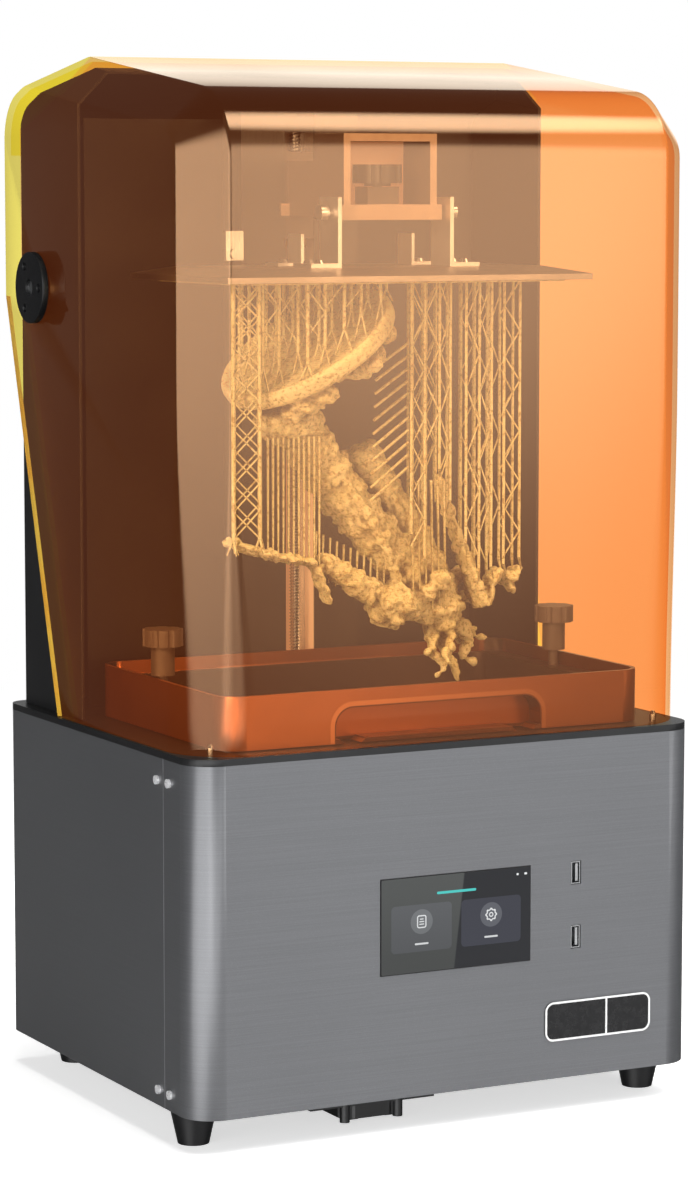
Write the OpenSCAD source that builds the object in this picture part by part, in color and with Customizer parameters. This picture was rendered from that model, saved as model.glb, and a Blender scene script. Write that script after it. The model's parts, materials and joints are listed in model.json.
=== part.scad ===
// Resin printer: a painted sheet-metal base that holds a mask screen and its light engine,
// a resin vat on the deck, a vertical lift in a dark rear tower, and a flip-up tinted canopy.
// Origin: on the floor, midway between the sides and between the front and rear of the base.
// +X is right, +Y is back and +Z is up, for someone who faces the touch screen.

/* [Base] */
// Width of the base, side to side
body_w = 333; // [329:1:341]
// Depth of the base, front to back
body_d = 275; // [273:1:281]
// Height of the painted shell
shell_h = 203; // [200:1:209]
// Height of the feet
foot_h = 21; // [20:1:24]
// Sheet thickness of the painted shell
shell_t = 2; // [1.5:0.5:2.5]
// Radius of the two front vertical corners
front_r = 20; // [16:1:24]
// Radius of the two rear vertical corners
rear_r = 12; // [8:1:16]
// Thickness of the black deck on top of the base
deck_t = 4; // [3.5:0.5:5]
// Distance from the front face to the seam in the side panels
seam_back = 41; // [38:1:44]

/* [Front panel] */
// Width of the touch screen glass
screen_w = 100; // [90:1:106]
// Height of the touch screen glass
screen_h = 57; // [50:1:62]
// Height of the touch screen's centre above the shell's lower edge
screen_up = 101.5; // [95:0.5:108]
// Position of the two data sockets, right of the centre line
socket_x = 82.6; // [76:0.1:90]
// Distance between the two data sockets
socket_gap = 38.5; // [34:0.5:42]
// Width of the badge plate
badge_w = 72.7; // [60:0.1:80]
// Height of the badge plate
badge_h = 23.6; // [18:0.1:26]

/* [Canopy] */
// Wall thickness of the canopy
lid_t = 3; // [2.5:0.5:3.5]
// Height of the canopy's ridge above the deck
lid_h = 396; // [392:1:402]
// Width of the 45 degree facets along the canopy's side edges
facet = 23; // [20:1:26]
// Radius of the canopy's top front edge
brow_r = 40; // [36:1:46]
// Height of the canopy's hinge above the deck
hinge_up = 258.3; // [250:0.1:262]
// Diameter of the round hinge covers
hinge_d = 43; // [38:1:46]

/* [Vat and plate] */
// Width of the resin vat
vat_w = 279.6; // [276:0.2:284]
// Height of the resin vat
vat_h = 31.2; // [30:0.1:34]
// Width of the build plate
plate_w = 241.4; // [232:0.2:242]
// Depth of the build plate
plate_d = 136; // [130:1:138]
// Height of the build plate's underside above the deck, at rest
plate_up = 264; // [258:1:266]
// Height of the sample print that hangs from the plate
print_h = 246; // [200:1:248]

/* [Hidden] */
$fn = 64;

// Colours
paint = "#6b6d72";
black_paint = "#1b1b1d";
black_plastic = "#111214";
steel = "#b9bcc0";
aluminium = "#c6c8ca";
brass = "#b8924a";
board_green = "#1f5a3a";
resin_tan = "#d9b274";
amber = "#e8791e";

// Main levels and planes
half_w = body_w / 2;
front_y = -body_d / 2;
rear_y = body_d / 2;
shell_z0 = foot_h;
shell_z1 = foot_h + shell_h;
deck_z = shell_z1 + deck_t;
seam_y = front_y + seam_back;
seam_gap = 0.4;
// Amount that a cutting solid runs past the surface it cuts
over = 1;
// Radial clearance of a part that turns or slides in another
run_gap = 0.05;
// Clearance between parts that only sit next to each other
fit_gap = 0.2;

// Base fasteners
screw_r = 2;
seam_screw_z = [shell_z0 + 9.7, shell_z1 - 13];
seam_screw_off = 7.8;
post_w = 12;
post_d = 27;
floor_t = 2;
floor_z = shell_z0 + floor_t;
foot_at = [[149.8, -99.3], [130, 118]];
foot_top_r = 13.8;
foot_low_r = 9.2;

// Front panel
screen_x = 1.5;
screen_z = shell_z0 + screen_up - 28.5 + screen_h / 2;
glass_t = 2.4;
socket_z = [shell_z0 + 84.4, shell_z0 + 84.4 + socket_gap];
socket_w = 7;
socket_h = 14;
badge_x = 98;
badge_z = shell_z0 + 34.6;
badge_r = 5.5;

// Rear panel fittings
fan_x = 92;
fan_z = shell_z0 + 124;
fan_w = 80;
inlet_x = -118;
inlet_z = shell_z0 + 34;
switch_x = -78;
rocker_y = rear_y - 2.5;
rocker_r = 7.4;

// Fan under the base
under_fan_x = -39;
under_fan_y = -91;
under_fan_w = 41;
under_fan_z = 2.8;
plinth_z = 12.2;

// Vertical drive
screw_y = 68;
lead_r = 4;
shaft_hole_r = 6;
coupler_z0 = deck_z + 2;
coupler_h = 20;
coupler_z1 = coupler_z0 + coupler_h;
coupler_split = 11;
column_w = 80;
column_y0 = 61;
column_y1 = 87;
slot_w = 20;
column_z1 = deck_z + 364;
rail_y = 74;
rail_d = 7;
rail_t = 4.6;
rail_z0 = deck_z + 28;
motor_w = 42.3;
motor_z0 = shell_z1 - 42;
motor_z1 = shell_z1 - 2;

// Build plate, lift arm and pivot
plate_z = deck_z + plate_up;
plate_y0 = -88.5;
plate_y1 = plate_y0 + plate_d;
plate_edge_t = 3.5;
plate_t = 8;
plate_slope = 22;
plate_top = plate_z + plate_t;
block_z0 = plate_z + 23;
block_z1 = plate_z + 76;
pivot_y = -53.5;
pivot_z = plate_z + 40;
rod_r = 2.5;
arm_z0 = plate_z + 35.5;
arm_z1 = plate_z + 86;
arm_floor_t = 9;
pocket_half_w = 31;
pocket_wall = 4.5;
pocket_y0 = -58;
pocket_y1 = -20;
hanger_x = 37.3;
hanger_t = 2.5;
clamp_y = -41;
clamp_r = 3;
bracket_y = -8;
hanger_screws = [[hanger_x + 11, pivot_y - 7], [hanger_x + 11, pivot_y + 7]];
guide_screws = [[hanger_x + 9, bracket_y]];

// Mask screen and light engine, centred under the build plate
mask_y = (plate_y0 + plate_y1) / 2;
mask_w = 231;
mask_d = 131;
light_half_w = 121;
light_half_d = 66.5;
light_z0 = shell_z0 + 75;
light_z1 = shell_z1 - 5;
stand_x = light_half_w - 6;
led_pitch = 36;

// Vat
vat_y0 = -120;
vat_y1 = 57.5;
vat_r = 15;
vat_z0 = deck_z + 0.8;
vat_z1 = vat_z0 + vat_h;
vat_wall = 2.5;
ledge_z = vat_z1 - 8;
well_x = plate_w / 2 + 3;
well_y0 = plate_y0 - 5;
well_y1 = plate_y1 + 5;
well_r = 8;
rebate = 3.5;
rebate_t = 4;
film_t = 0.3;
knob_x = vat_w / 2 - 6.6;
knob_y = -24;
pin_at = [[147, -118], [147, 66]];

// Tower
tower_half_w = half_w - 8.1;
tower_y0 = 38;
tower_y1 = 126;
tower_t = 2;
tower_inset = 6.5;

// Canopy: side view, in Y and height
lid_half_w = half_w - 1;
lid_z0 = deck_z + 0.4;
lid_front_y = front_y + 1;
lid_rear_y = rear_y - 3;
ridge_y = 56;
ridge_z = deck_z + lid_h;
top_rise = 0.1315;
rear_fall = 0.36;
nape_r = 30;
slant_z = deck_z + 252;
slant_y = 59;
hinge_y = 88;
hinge_z = deck_z + hinge_up;
pivot_r = 5;
hub_r = 8;

// ---------- Shared shapes ----------

// Box between two corners
module block(a, b) {
    translate(a) cube(b - a);
}

// Its child and the child's mirror image across the middle of the printer
module both_sides() {
    children();
    mirror([1, 0, 0]) children();
}

// Cylinder along X that starts at p
module rod_x(p, r, len) {
    translate(p) rotate([0, 90, 0]) cylinder(r = r, h = len);
}

// Cylinder along Y that starts at p
module rod_y(p, r, len) {
    translate(p) rotate([-90, 0, 0]) cylinder(r = r, h = len);
}

// Plan of the base: rounded corners, larger at the front, moved inward by inset
module base_plan(inset = 0) {
    hw = half_w - inset;
    hd = body_d / 2 - inset;
    f = front_r - inset;
    r = rear_r - inset;
    for (s = [-1, 1]) {
        translate([s * (hw - f), f - hd]) circle(f);
        translate([s * (hw - r), hd - r]) circle(r);
    }
    polygon([
        [f - hw, -hd], [hw - f, -hd], [hw, f - hd], [hw, hd - r],
        [hw - r, hd], [r - hw, hd], [-hw, hd - r], [-hw, f - hd]
    ]);
}

// Rectangle with round corners, from corner a to corner b
module round_rect(a, b, r) {
    for (x = [a[0] + r, b[0] - r], y = [a[1] + r, b[1] - r]) {
        translate([x, y]) circle(r);
    }
    translate([a[0] + r, a[1]]) square([b[0] - a[0] - 2 * r, b[1] - a[1]]);
    translate([a[0], a[1] + r]) square([b[0] - a[0], b[1] - a[1] - 2 * r]);
}

// Upright wall of the base
module base_wall() {
    translate([0, 0, shell_z0]) difference() {
        linear_extrude(shell_h) base_plan();
        translate([0, 0, -over]) linear_extrude(shell_h + 2 * over) base_plan(shell_t);
    }
}

// Pan-head screw along X with its head's underside at x = 0 and its shank towards -X
module pan_screw(shank) {
    rod_x([0, 0, 0], 2.6, 1.6);
    rod_x([-shank, 0, 0], screw_r, shank);
}

// Knob head with grip hollows around its edge
module lobed_head(r, h, count, hollow_r) {
    difference() {
        cylinder(r = r, h = h);
        for (i = [0 : count - 1]) {
            rotate(i * 360 / count) translate([r + hollow_r * 0.55, 0, -over])
                cylinder(r = hollow_r, h = h + 2 * over);
        }
    }
}

// Fan frame: a square plate with a round duct and four screw holes, from z = 0
module fan_frame(w, h) {
    difference() {
        linear_extrude(h) round_rect([-w / 2, -w / 2], [w / 2, w / 2], w * 0.07);
        translate([0, 0, 2]) cylinder(d = w * 0.94, h = h);
        translate([0, 0, -over]) difference() {
            cylinder(d = w * 0.94, h = 4);
            cylinder(d = w * 0.46, h = 4);
            for (a = [45, 135]) {
                rotate(a) translate([-w / 2, -w * 0.03, 0]) cube([w, w * 0.06, 4]);
            }
        }
        for (x = [-1, 1], y = [-1, 1]) {
            translate([x * w * 0.41, y * w * 0.41, -over]) cylinder(d = w * 0.09, h = h + 2 * over);
        }
    }
}

// Fan rotor: a hub with flat raked blades, from z = 0
module fan_rotor(w, h, blades) {
    cylinder(d = w * 0.42, h = h);
    for (i = [0 : blades - 1]) {
        rotate(i * 360 / blades) translate([w * 0.2, 0, h / 2]) rotate([32, 0, 0])
            translate([0, -w * 0.1, -0.6]) cube([w * 0.23, w * 0.2, 1.2]);
    }
}

// ---------- Base ----------

// Holes for the screws on one side of the seam; dir is -1 in front of it and 1 behind it
module seam_holes(dir) {
    for (z = seam_screw_z) {
        rod_x([-half_w - over, seam_y + dir * seam_screw_off, z], screw_r + 0.1,
            body_w + 2 * over);
    }
}

module front_shell() {
    color(paint) difference() {
        base_wall();
        block([-half_w - over, seam_y, 0], [half_w + over, rear_y + over, deck_z]);
        block([screen_x - screen_w / 2, front_y - over, screen_z - screen_h / 2],
            [screen_x + screen_w / 2, front_y + 5, screen_z + screen_h / 2]);
        for (z = socket_z) {
            block([socket_x - socket_w / 2, front_y - over, z - socket_h / 2],
                [socket_x + socket_w / 2, front_y + 5, z + socket_h / 2]);
        }
        seam_holes(-1);
    }
}

// Rows of upright ventilation slots in the rear panel, centred on x
module rear_vents(x, z0, count, h) {
    for (i = [0 : count - 1]) {
        block([x + (i - (count - 1) / 2) * 8 - 1.6, rear_y - 5, z0],
            [x + (i - (count - 1) / 2) * 8 + 1.6, rear_y + over, z0 + h]);
    }
}

module rear_shell() {
    color(paint) difference() {
        base_wall();
        block([-half_w - over, front_y - over, 0],
            [half_w + over, seam_y + seam_gap, deck_z]);
        rear_vents(-72, shell_z0 + 100, 14, 50);
        for (i = [-4 : 4]) {
            reach = sqrt(pow(fan_w * 0.45, 2) - pow(i * 8, 2));
            block([fan_x + i * 8 - 2.4, rear_y - 5, fan_z - reach],
                [fan_x + i * 8 + 2.4, rear_y + over, fan_z + reach]);
        }
        block([inlet_x - 14, rear_y - 5, inlet_z - 10.5],
            [inlet_x + 14, rear_y + over, inlet_z + 10.5]);
        block([switch_x - 10, rear_y - 5, inlet_z - 7.5],
            [switch_x + 10, rear_y + over, inlet_z + 7.5]);
        seam_holes(1);
    }
}

module bottom_plate() {
    color(black_paint) difference() {
        translate([0, 0, shell_z0]) linear_extrude(floor_t) base_plan(shell_t + 0.3);
        for (p = foot_at, s = [-1, 1]) {
            translate([s * p[0], p[1], 0]) cylinder(r = screw_r + 0.2, h = floor_z + over);
        }
        translate([under_fan_x, under_fan_y, shell_z0 - over])
            cylinder(d = under_fan_w * 0.9, h = floor_t + 2 * over);
        for (x = [30 : 8 : 118], y = [60, 95]) {
            block([x - 1.8, y - 13, shell_z0 - over], [x + 1.8, y + 13, floor_z + over]);
        }
    }
}

// Two full-height strips behind the seam that both shells screw to
module seam_posts() {
    x = half_w - shell_t - fit_gap - post_w;
    color(steel) difference() {
        both_sides() block([x, seam_y - post_d / 2, floor_z],
            [x + post_w, seam_y + post_d / 2, shell_z1]);
        for (s = [-1, 1], d = [-1, 1], z = seam_screw_z) {
            rod_x([s * (x + post_w / 2) - post_w, seam_y + d * seam_screw_off, z],
                screw_r + run_gap, 2 * post_w);
        }
    }
}

module side_screws() {
    color(steel) both_sides() for (d = [-1, 1], z = seam_screw_z) {
        translate([half_w, seam_y + d * seam_screw_off, z]) pan_screw(10);
    }
}

module feet() {
    color(black_plastic) for (p = foot_at, s = [-1, 1]) {
        translate([s * p[0], p[1], 0]) difference() {
            cylinder(r1 = foot_low_r, r2 = foot_top_r, h = foot_h);
            translate([0, 0, -over]) cylinder(r = 5, h = 9 + over);
            cylinder(r = screw_r + run_gap, h = foot_h + over);
        }
    }
}

module foot_screws() {
    color(steel) for (p = foot_at, s = [-1, 1]) {
        translate([s * p[0], p[1], 6]) {
            cylinder(r = 4, h = 3);
            translate([0, 0, 3]) cylinder(r = screw_r, h = foot_h - 4);
        }
    }
}

module top_deck() {
    color(black_paint) difference() {
        translate([0, 0, shell_z1]) linear_extrude(deck_t) base_plan();
        block([-mask_w / 2 - fit_gap, mask_y - mask_d / 2 - fit_gap, shell_z1 - over],
            [mask_w / 2 + fit_gap, mask_y + mask_d / 2 + fit_gap, deck_z + over]);
        translate([0, screw_y, shell_z1 - over]) cylinder(r = shaft_hole_r, h = deck_t + 2 * over);
        for (s = [-1, 1]) {
            translate([s * knob_x, knob_y, shell_z1 - over])
                cylinder(r = 5 + run_gap, h = deck_t + 2 * over);
            for (p = pin_at) {
                translate([s * p[0], p[1], shell_z1 - over])
                    cylinder(r = 1.5 + run_gap, h = deck_t + 2 * over);
            }
        }
    }
}

// Locating pins around the vat
module deck_pins() {
    color(steel) for (p = pin_at, s = [-1, 1]) {
        translate([s * p[0], p[1], shell_z1]) {
            cylinder(r = 1.5, h = deck_t);
            translate([0, 0, deck_t]) cylinder(r = 2, h = 4);
            translate([0, 0, deck_t + 4]) cylinder(r1 = 2, r2 = 1, h = 2);
        }
    }
}

// Threaded inserts that the vat knobs screw into
module knob_bushes() {
    color(brass) for (s = [-1, 1]) {
        translate([s * knob_x, knob_y, shell_z1 - 6]) difference() {
            union() {
                cylinder(r = 5, h = 6 + deck_t);
                cylinder(r = 8, h = 6);
            }
            translate([0, 0, -over]) cylinder(r = 3 + run_gap, h = 12 + deck_t);
        }
    }
}

// ---------- Front panel ----------

module screen_glass() {
    color(black_plastic) block(
        [screen_x - screen_w / 2 + fit_gap, front_y - 0.5, screen_z - screen_h / 2 + fit_gap],
        [screen_x + screen_w / 2 - fit_gap, front_y - 0.5 + glass_t,
            screen_z + screen_h / 2 - fit_gap]);
}

// Display panel with its driver board, behind the glass
module screen_module() {
    y = front_y - 0.5 + glass_t + 0.2;
    color(steel) block([screen_x - 52, y, screen_z - 31], [screen_x + 52, y + 4, screen_z + 31]);
    color(board_green) block([screen_x - 50, y + 4, screen_z - 29],
        [screen_x + 50, y + 5.6, screen_z + 29]);
    color(black_plastic) for (x = [-32, 0, 30]) {
        block([screen_x + x - 8, y + 5.6, screen_z - 10], [screen_x + x + 8, y + 9, screen_z + 8]);
    }
}

// Metal socket shells with their tongues
module data_sockets() {
    for (z = socket_z) {
        color(steel) difference() {
            block([socket_x - 3, front_y + 0.6, z - 6.6], [socket_x + 3, front_y + 16, z + 6.6]);
            block([socket_x - 2.5, front_y - over, z - 6.1], [socket_x + 2.5, front_y + 14, z + 6.1]);
        }
        color("white") block([socket_x + 0.2, front_y + 1.4, z - 5.2],
            [socket_x + 1.9, front_y + 14, z + 5.2]);
    }
}

module socket_board() {
    color(board_green) block([socket_x + 3, front_y + 4, socket_z[0] - 14],
        [socket_x + 4.6, front_y + 34, socket_z[1] + 14]);
}

// Blank badge: a dark plate with a raised rim and a divider
module badge_plate() {
    x0 = badge_x - badge_w / 2;
    z0 = badge_z - badge_h / 2;
    divide = 0.57 * badge_w;
    color(black_plastic) translate([x0, front_y, z0]) rotate([90, 0, 0]) {
        linear_extrude(0.6) round_rect([0, 0], [badge_w, badge_h], badge_r);
        linear_extrude(0.9) difference() {
            round_rect([0, 0], [badge_w, badge_h], badge_r);
            round_rect([1.2, 1.2], [badge_w - 1.2, badge_h - 1.2], badge_r - 1.2);
        }
        translate([divide, 1, 0]) cube([1.2, badge_h - 2, 0.9]);
    }
}

// ---------- Electronics ----------

module mainboard() {
    z = floor_z + 6;
    color(board_green) block([26, 56, z], [150, 126, z + 1.6]);
    color(black_plastic) {
        block([60, 80, z + 1.6], [84, 104, z + 9]);
        block([100, 66, z + 1.6], [112, 78, z + 3]);
        block([32, 112, z + 1.6], [70, 124, z + 12]);
        block([84, 112, z + 1.6], [140, 124, z + 10]);
        block([124, 64, z + 1.6], [144, 92, z + 6]);
    }
    color(steel) for (x = [31, 145], y = [61, 121]) {
        translate([x, y, floor_z]) cylinder(r = 3, h = 6);
    }
}

module power_supply() {
    y0 = 46;
    y1 = 112;
    color(aluminium) difference() {
        block([-152, y0, floor_z], [2, y1, floor_z + 38]);
        block([-20, y0 + 1.5, floor_z + 14], [2 + over, y1 - 1.5, floor_z + 38 + over]);
        for (x = [-136 : 9 : -46], y = [70, 79, 88]) {
            translate([x, y, floor_z + 34]) cylinder(d = 5, h = 4 + over);
        }
    }
    color(black_plastic) for (i = [0 : 5]) {
        block([-16, y0 + 6 + i * 9, floor_z + 14], [-2, y0 + 13 + i * 9, floor_z + 24]);
    }
}

module power_inlet() {
    color(black_plastic) difference() {
        union() {
            block([inlet_x - 13.6, rear_y - 22, inlet_z - 10.1],
                [inlet_x + 13.6, rear_y, inlet_z + 10.1]);
            block([inlet_x - 16, rear_y, inlet_z - 12.5], [inlet_x + 16, rear_y + 2, inlet_z + 12.5]);
        }
        block([inlet_x - 10, rear_y - 16, inlet_z - 6.5], [inlet_x + 10, rear_y + 3, inlet_z + 6.5]);
    }
    color(steel) for (x = [-6, 0, 6]) {
        block([inlet_x + x - 1, rear_y - 16, inlet_z - 2], [inlet_x + x + 1, rear_y - 3, inlet_z + 2]);
    }
}

module switch_frame() {
    color(black_plastic) difference() {
        union() {
            block([switch_x - 9.6, rear_y - 18, inlet_z - 7.1],
                [switch_x + 9.6, rear_y, inlet_z + 7.1]);
            block([switch_x - 11.5, rear_y, inlet_z - 8.8], [switch_x + 11.5, rear_y + 1.6, inlet_z + 8.8]);
        }
        block([switch_x - 8.2, rear_y - 14, inlet_z - 5.6],
            [switch_x + 8.2, rear_y + 3, inlet_z + 5.6]);
        translate([switch_x, rocker_y, inlet_z - 6.6]) cylinder(r = 1.2 + run_gap, h = 13.2);
    }
}

// Rocker that tips about an upright pin; at rest its left half is pressed in
module power_rocker() {
    color("#7a1414") translate([switch_x, rocker_y, inlet_z]) rotate([0, 0, 7]) {
        translate([0, 0, -5.3]) intersection() {
            cylinder(r = rocker_r, h = 10.6);
            translate([-rocker_r, -5, 0]) cube([2 * rocker_r, 9, 10.6]);
        }
        translate([0, 0, -6.5]) cylinder(r = 1.2, h = 13);
    }
}

module rear_fan_frame() {
    color(black_plastic) translate([fan_x, rear_y - shell_t - fit_gap, fan_z]) rotate([90, 0, 0])
        fan_frame(fan_w, 25);
}

module rear_fan_rotor() {
    color(black_plastic) translate([fan_x, rear_y - shell_t - fit_gap - 5, fan_z])
        rotate([90, 0, 0]) fan_rotor(fan_w, 18, 7);
}

// Underside intake fan: finned corner posts, a waisted body and a wide mounting plinth
module underside_fan_frame() {
    w = under_fan_w;
    h = shell_z0 - under_fan_z;
    color(black_plastic) translate([under_fan_x, under_fan_y, under_fan_z]) difference() {
        union() {
            for (x = [-1, 1], y = [-1, 1]) {
                translate([x * (w / 2 - 3), y * (w / 2 - 3), 0]) cylinder(r = 3, h = h);
            }
            translate([0, 0, 1.5]) linear_extrude(h - 1.5) intersection() {
                circle(d = w * 1.08);
                square([w - 3, w - 3], center = true);
            }
            translate([-w, -w / 2 + 1, plinth_z - under_fan_z])
                cube([2 * w, w + 12, shell_z0 - plinth_z]);
            for (x = [-1, 1], y = [-1, 1]) {
                translate([x * 13.5, y * 13.5, 1 + (h - 1) / 2]) cube([9, 9, h - 1], center = true);
            }
        }
        translate([0, 0, 2.5]) cylinder(d = w * 0.88, h = h);
        translate([0, 0, -over]) difference() {
            cylinder(d = w * 0.88, h = 5);
            cylinder(d = w * 0.44, h = 5);
            for (a = [45, 135]) {
                rotate(a) translate([-w / 2, -1.2, 0]) cube([w, 2.4, 5]);
            }
        }
    }
}

module underside_fan_rotor() {
    color(black_plastic) translate([under_fan_x, under_fan_y, under_fan_z + 4])
        fan_rotor(under_fan_w * 0.9, 12, 7);
}

// ---------- Light engine and mask screen ----------

// Box of the light engine's outline, z0 to z1, moved inward by inset
module light_box(z0, z1, inset) {
    block([inset - light_half_w, mask_y - light_half_d + inset, z0],
        [light_half_w - inset, mask_y + light_half_d - inset, z1]);
}

module light_housing() {
    color(aluminium) difference() {
        light_box(light_z0, light_z1, 0);
        light_box(light_z0 - over, light_z1 + over, 2);
    }
}

module light_stands() {
    color(steel) for (x = [-stand_x, stand_x], y = [-1, 1]) {
        translate([x, mask_y + y * (light_half_d - 6), floor_z])
            cylinder(r = 4, h = light_z0 - 6 - floor_z);
    }
}

module heatsink() {
    color(aluminium) {
        light_box(light_z0 - 6, light_z0, 0);
        for (i = [-9 : 9]) {
            block([i * 11 - 1, mask_y - light_half_d + 14, light_z0 - 24],
                [i * 11 + 1, mask_y + light_half_d - 14, light_z0 - 6]);
        }
    }
}

// Its child at each place in the grid of light emitters
module at_each_led() {
    for (i = [-2.5 : 2.5], j = [-1 : 1]) {
        translate([i * led_pitch, mask_y + j * led_pitch, 0]) children();
    }
}

module led_array() {
    color("white") light_box(light_z0, light_z0 + 1.6, 6);
    color("#d8c8f0") at_each_led() translate([0, 0, light_z0 + 1.6]) cylinder(r = 3.5, h = 1.4);
}

module reflector_plate() {
    color(aluminium) difference() {
        light_box(light_z0 + 4, light_z0 + 18, 2.5);
        at_each_led() translate([0, 0, light_z0 + 4 - 0.01]) cylinder(r1 = 5, r2 = 16, h = 14.02);
    }
}

module fresnel_lens() {
    color("#e8f2f5") light_box(light_z1 - 28, light_z1 - 25, 2.2);
}

module mask_frame() {
    color(black_paint) difference() {
        block([-mask_w / 2 - 9, mask_y - mask_d / 2 - 1, light_z1],
            [mask_w / 2 + 9, mask_y + mask_d / 2 + 1, shell_z1]);
        block([4 - mask_w / 2, mask_y - mask_d / 2 + 4, light_z1 - over],
            [mask_w / 2 - 4, mask_y + mask_d / 2 - 4, shell_z1 + over]);
    }
}

module mask_panel() {
    color("#0b0d12") block([-mask_w / 2, mask_y - mask_d / 2, shell_z1],
        [mask_w / 2, mask_y + mask_d / 2, deck_z - 1.8]);
}

module mask_glass() {
    color("#20242c") block([-mask_w / 2, mask_y - mask_d / 2, deck_z - 1.8],
        [mask_w / 2, mask_y + mask_d / 2, deck_z]);
}

// ---------- Canopy and tower ----------

// Side view of the roof line moved inward by d: a round brow at the front, then a long rise.
// The front face is at y0 and the roof runs back past the canopy's rear.
function roof_outline(d, steps) =
    let (
        k = sqrt(1 + top_rise * top_rise),
        y0 = lid_front_y + d,
        r = brow_r - d,
        tilt = atan(top_rise),
        top = function(y) ridge_z + top_rise * (y - ridge_y) - d * k,
        cz = top(y0 + r) - r * k
    )
    concat(
        [[rear_y + 60, 0], [y0, 0]],
        [for (i = [0 : steps]) let (a = 180 - (90 - tilt) * i / steps)
            [y0 + r + r * cos(a), cz + r * sin(a)]],
        [[rear_y + 60, top(rear_y + 60)]]
    );

// Side view of the canopy's rear moved inward by d: falling roof, round nape, upright edge
function rear_outline(d, rear, steps) =
    let (
        k = sqrt(1 + rear_fall * rear_fall),
        r = nape_r - d,
        cy = lid_rear_y - nape_r,
        cz = ridge_z - rear_fall * (cy - ridge_y) - nape_r * k,
        tilt = atan(rear_fall),
        top = function(y) ridge_z - rear_fall * (y - ridge_y) - d * k
    )
    concat(
        [[front_y - 60, 0], [front_y - 60, top(front_y - 60)]],
        [for (i = [0 : steps]) let (a = 90 - tilt - (90 - tilt) * i / steps)
            [min(rear, cy + r * cos(a)), cz + r * sin(a)]],
        [[rear, cz], [rear, 0]]
    );

// A side view in Y and height, made into a slab of half-width w about the middle
module slab(w, points) {
    translate([-w, 0, 0]) rotate([90, 0, 90]) linear_extrude(2 * w) polygon(points);
}

// The canopy's outer form moved inward by d, with its side facets
module canopy_form(d, rear, half, steps = 14) {
    leg = facet - d * (2 - sqrt(2));
    intersection() {
        hull() {
            slab(half - leg, roof_outline(d, steps));
            slab(half, roof_outline(d + leg, steps));
        }
        slab(half + over, rear_outline(d, rear, steps));
    }
}

module canopy() {
    color(amber, 0.45) difference() {
        intersection() {
            canopy_form(0, lid_rear_y, lid_half_w);
            slab(half_w + over, [
                [front_y - 5, lid_z0], [slant_y, lid_z0], [lid_rear_y, slant_z],
                [lid_rear_y, ridge_z + 5], [front_y - 5, ridge_z + 5]
            ]);
        }
        canopy_form(lid_t, lid_rear_y - lid_t, lid_half_w - lid_t);
        block([lid_t - lid_half_w, 0, deck_z - 5],
            [lid_half_w - lid_t, rear_y + 5, ridge_z - rear_fall * (lid_rear_y - ridge_y) - nape_r]);
        rod_x([-half_w - over, hinge_y, hinge_z], hub_r + 0.3, body_w + 2 * over);
    }
}

// Round hinge covers outside the canopy walls, with hubs that turn on the tower's pins
module hinge_covers() {
    cover_t = 4;
    hub_len = 4.5;
    color(black_plastic) both_sides() translate([lid_half_w, hinge_y, hinge_z]) difference() {
        union() {
            rod_x([0, 0, 0], hinge_d / 2, cover_t);
            rod_x([-hub_len, 0, 0], hub_r, hub_len);
        }
        rod_x([-hub_len - over, 0, 0], pivot_r + run_gap, hub_len + cover_t + 2 * over);
        for (a = [90, 210, 330]) {
            rotate([a, 0, 0]) rod_x([1.6, 0, 14.5], 2.6, cover_t);
        }
    }
}

// Sheet-metal tower behind the lift, with wings at the sides and a cap under the canopy's roof
module tower_shell() {
    color(black_paint) difference() {
        intersection() {
            canopy_form(tower_inset, tower_y1, tower_half_w, 8);
            block([-half_w, tower_y0, deck_z], [half_w, rear_y, ridge_z + 5]);
        }
        canopy_form(tower_inset + tower_t, tower_y1 - tower_t, tower_half_w - tower_t, 8);
    }
}

// Flat inner panel across the tower, behind the column
module tower_panel() {
    w = tower_half_w - tower_t - facet - fit_gap;
    color(black_paint) block([-w, column_y1, deck_z], [w, column_y1 + 1.5, column_z1 - 4]);
}

// Pins on the tower's wings that carry the canopy
module hinge_pins() {
    color(steel) both_sides() {
        rod_x([tower_half_w, hinge_y, hinge_z], pivot_r, lid_half_w + 2.6 - tower_half_w);
        rod_x([tower_half_w, hinge_y, hinge_z], 11, 1.8);
    }
}

// ---------- Vertical drive ----------

// Extruded column: two hollow posts with a slot between them, joined by a rear web
module z_column() {
    wall = 3;
    color("#2a2a2c") translate([0, 0, deck_z]) linear_extrude(column_z1 - deck_z) difference() {
        translate([-column_w / 2, column_y0]) square([column_w, column_y1 - column_y0]);
        translate([-slot_w / 2, column_y0 - over])
            square([slot_w, column_y1 - column_y0 - wall + over]);
        for (x = [slot_w / 2 + wall, -column_w / 2 + wall]) {
            translate([x, column_y0 + wall])
                square([(column_w - slot_w) / 2 - 2 * wall, column_y1 - column_y0 - 2 * wall]);
        }
    }
}

module guide_rails() {
    color(steel) both_sides() block([slot_w / 2 - rail_t, rail_y, rail_z0],
        [slot_w / 2, rail_y + rail_d, column_z1 - 4]);
}

module lead_screw() {
    low = coupler_z0 + coupler_split;
    color(steel) translate([0, screw_y, low]) cylinder(r = lead_r, h = column_z1 - 3 - low);
}

module screw_coupler() {
    color(aluminium) translate([0, screw_y, coupler_z0]) difference() {
        cylinder(r = 9, h = coupler_h);
        translate([0, 0, coupler_split]) cylinder(r = lead_r + run_gap, h = coupler_h);
        translate([0, 0, -over]) cylinder(r = 2.5 + run_gap, h = coupler_split + 2 * over);
        for (z = [4, coupler_h - 4]) rod_y([0, 0, z], 1.6, 12);
    }
}

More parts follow.
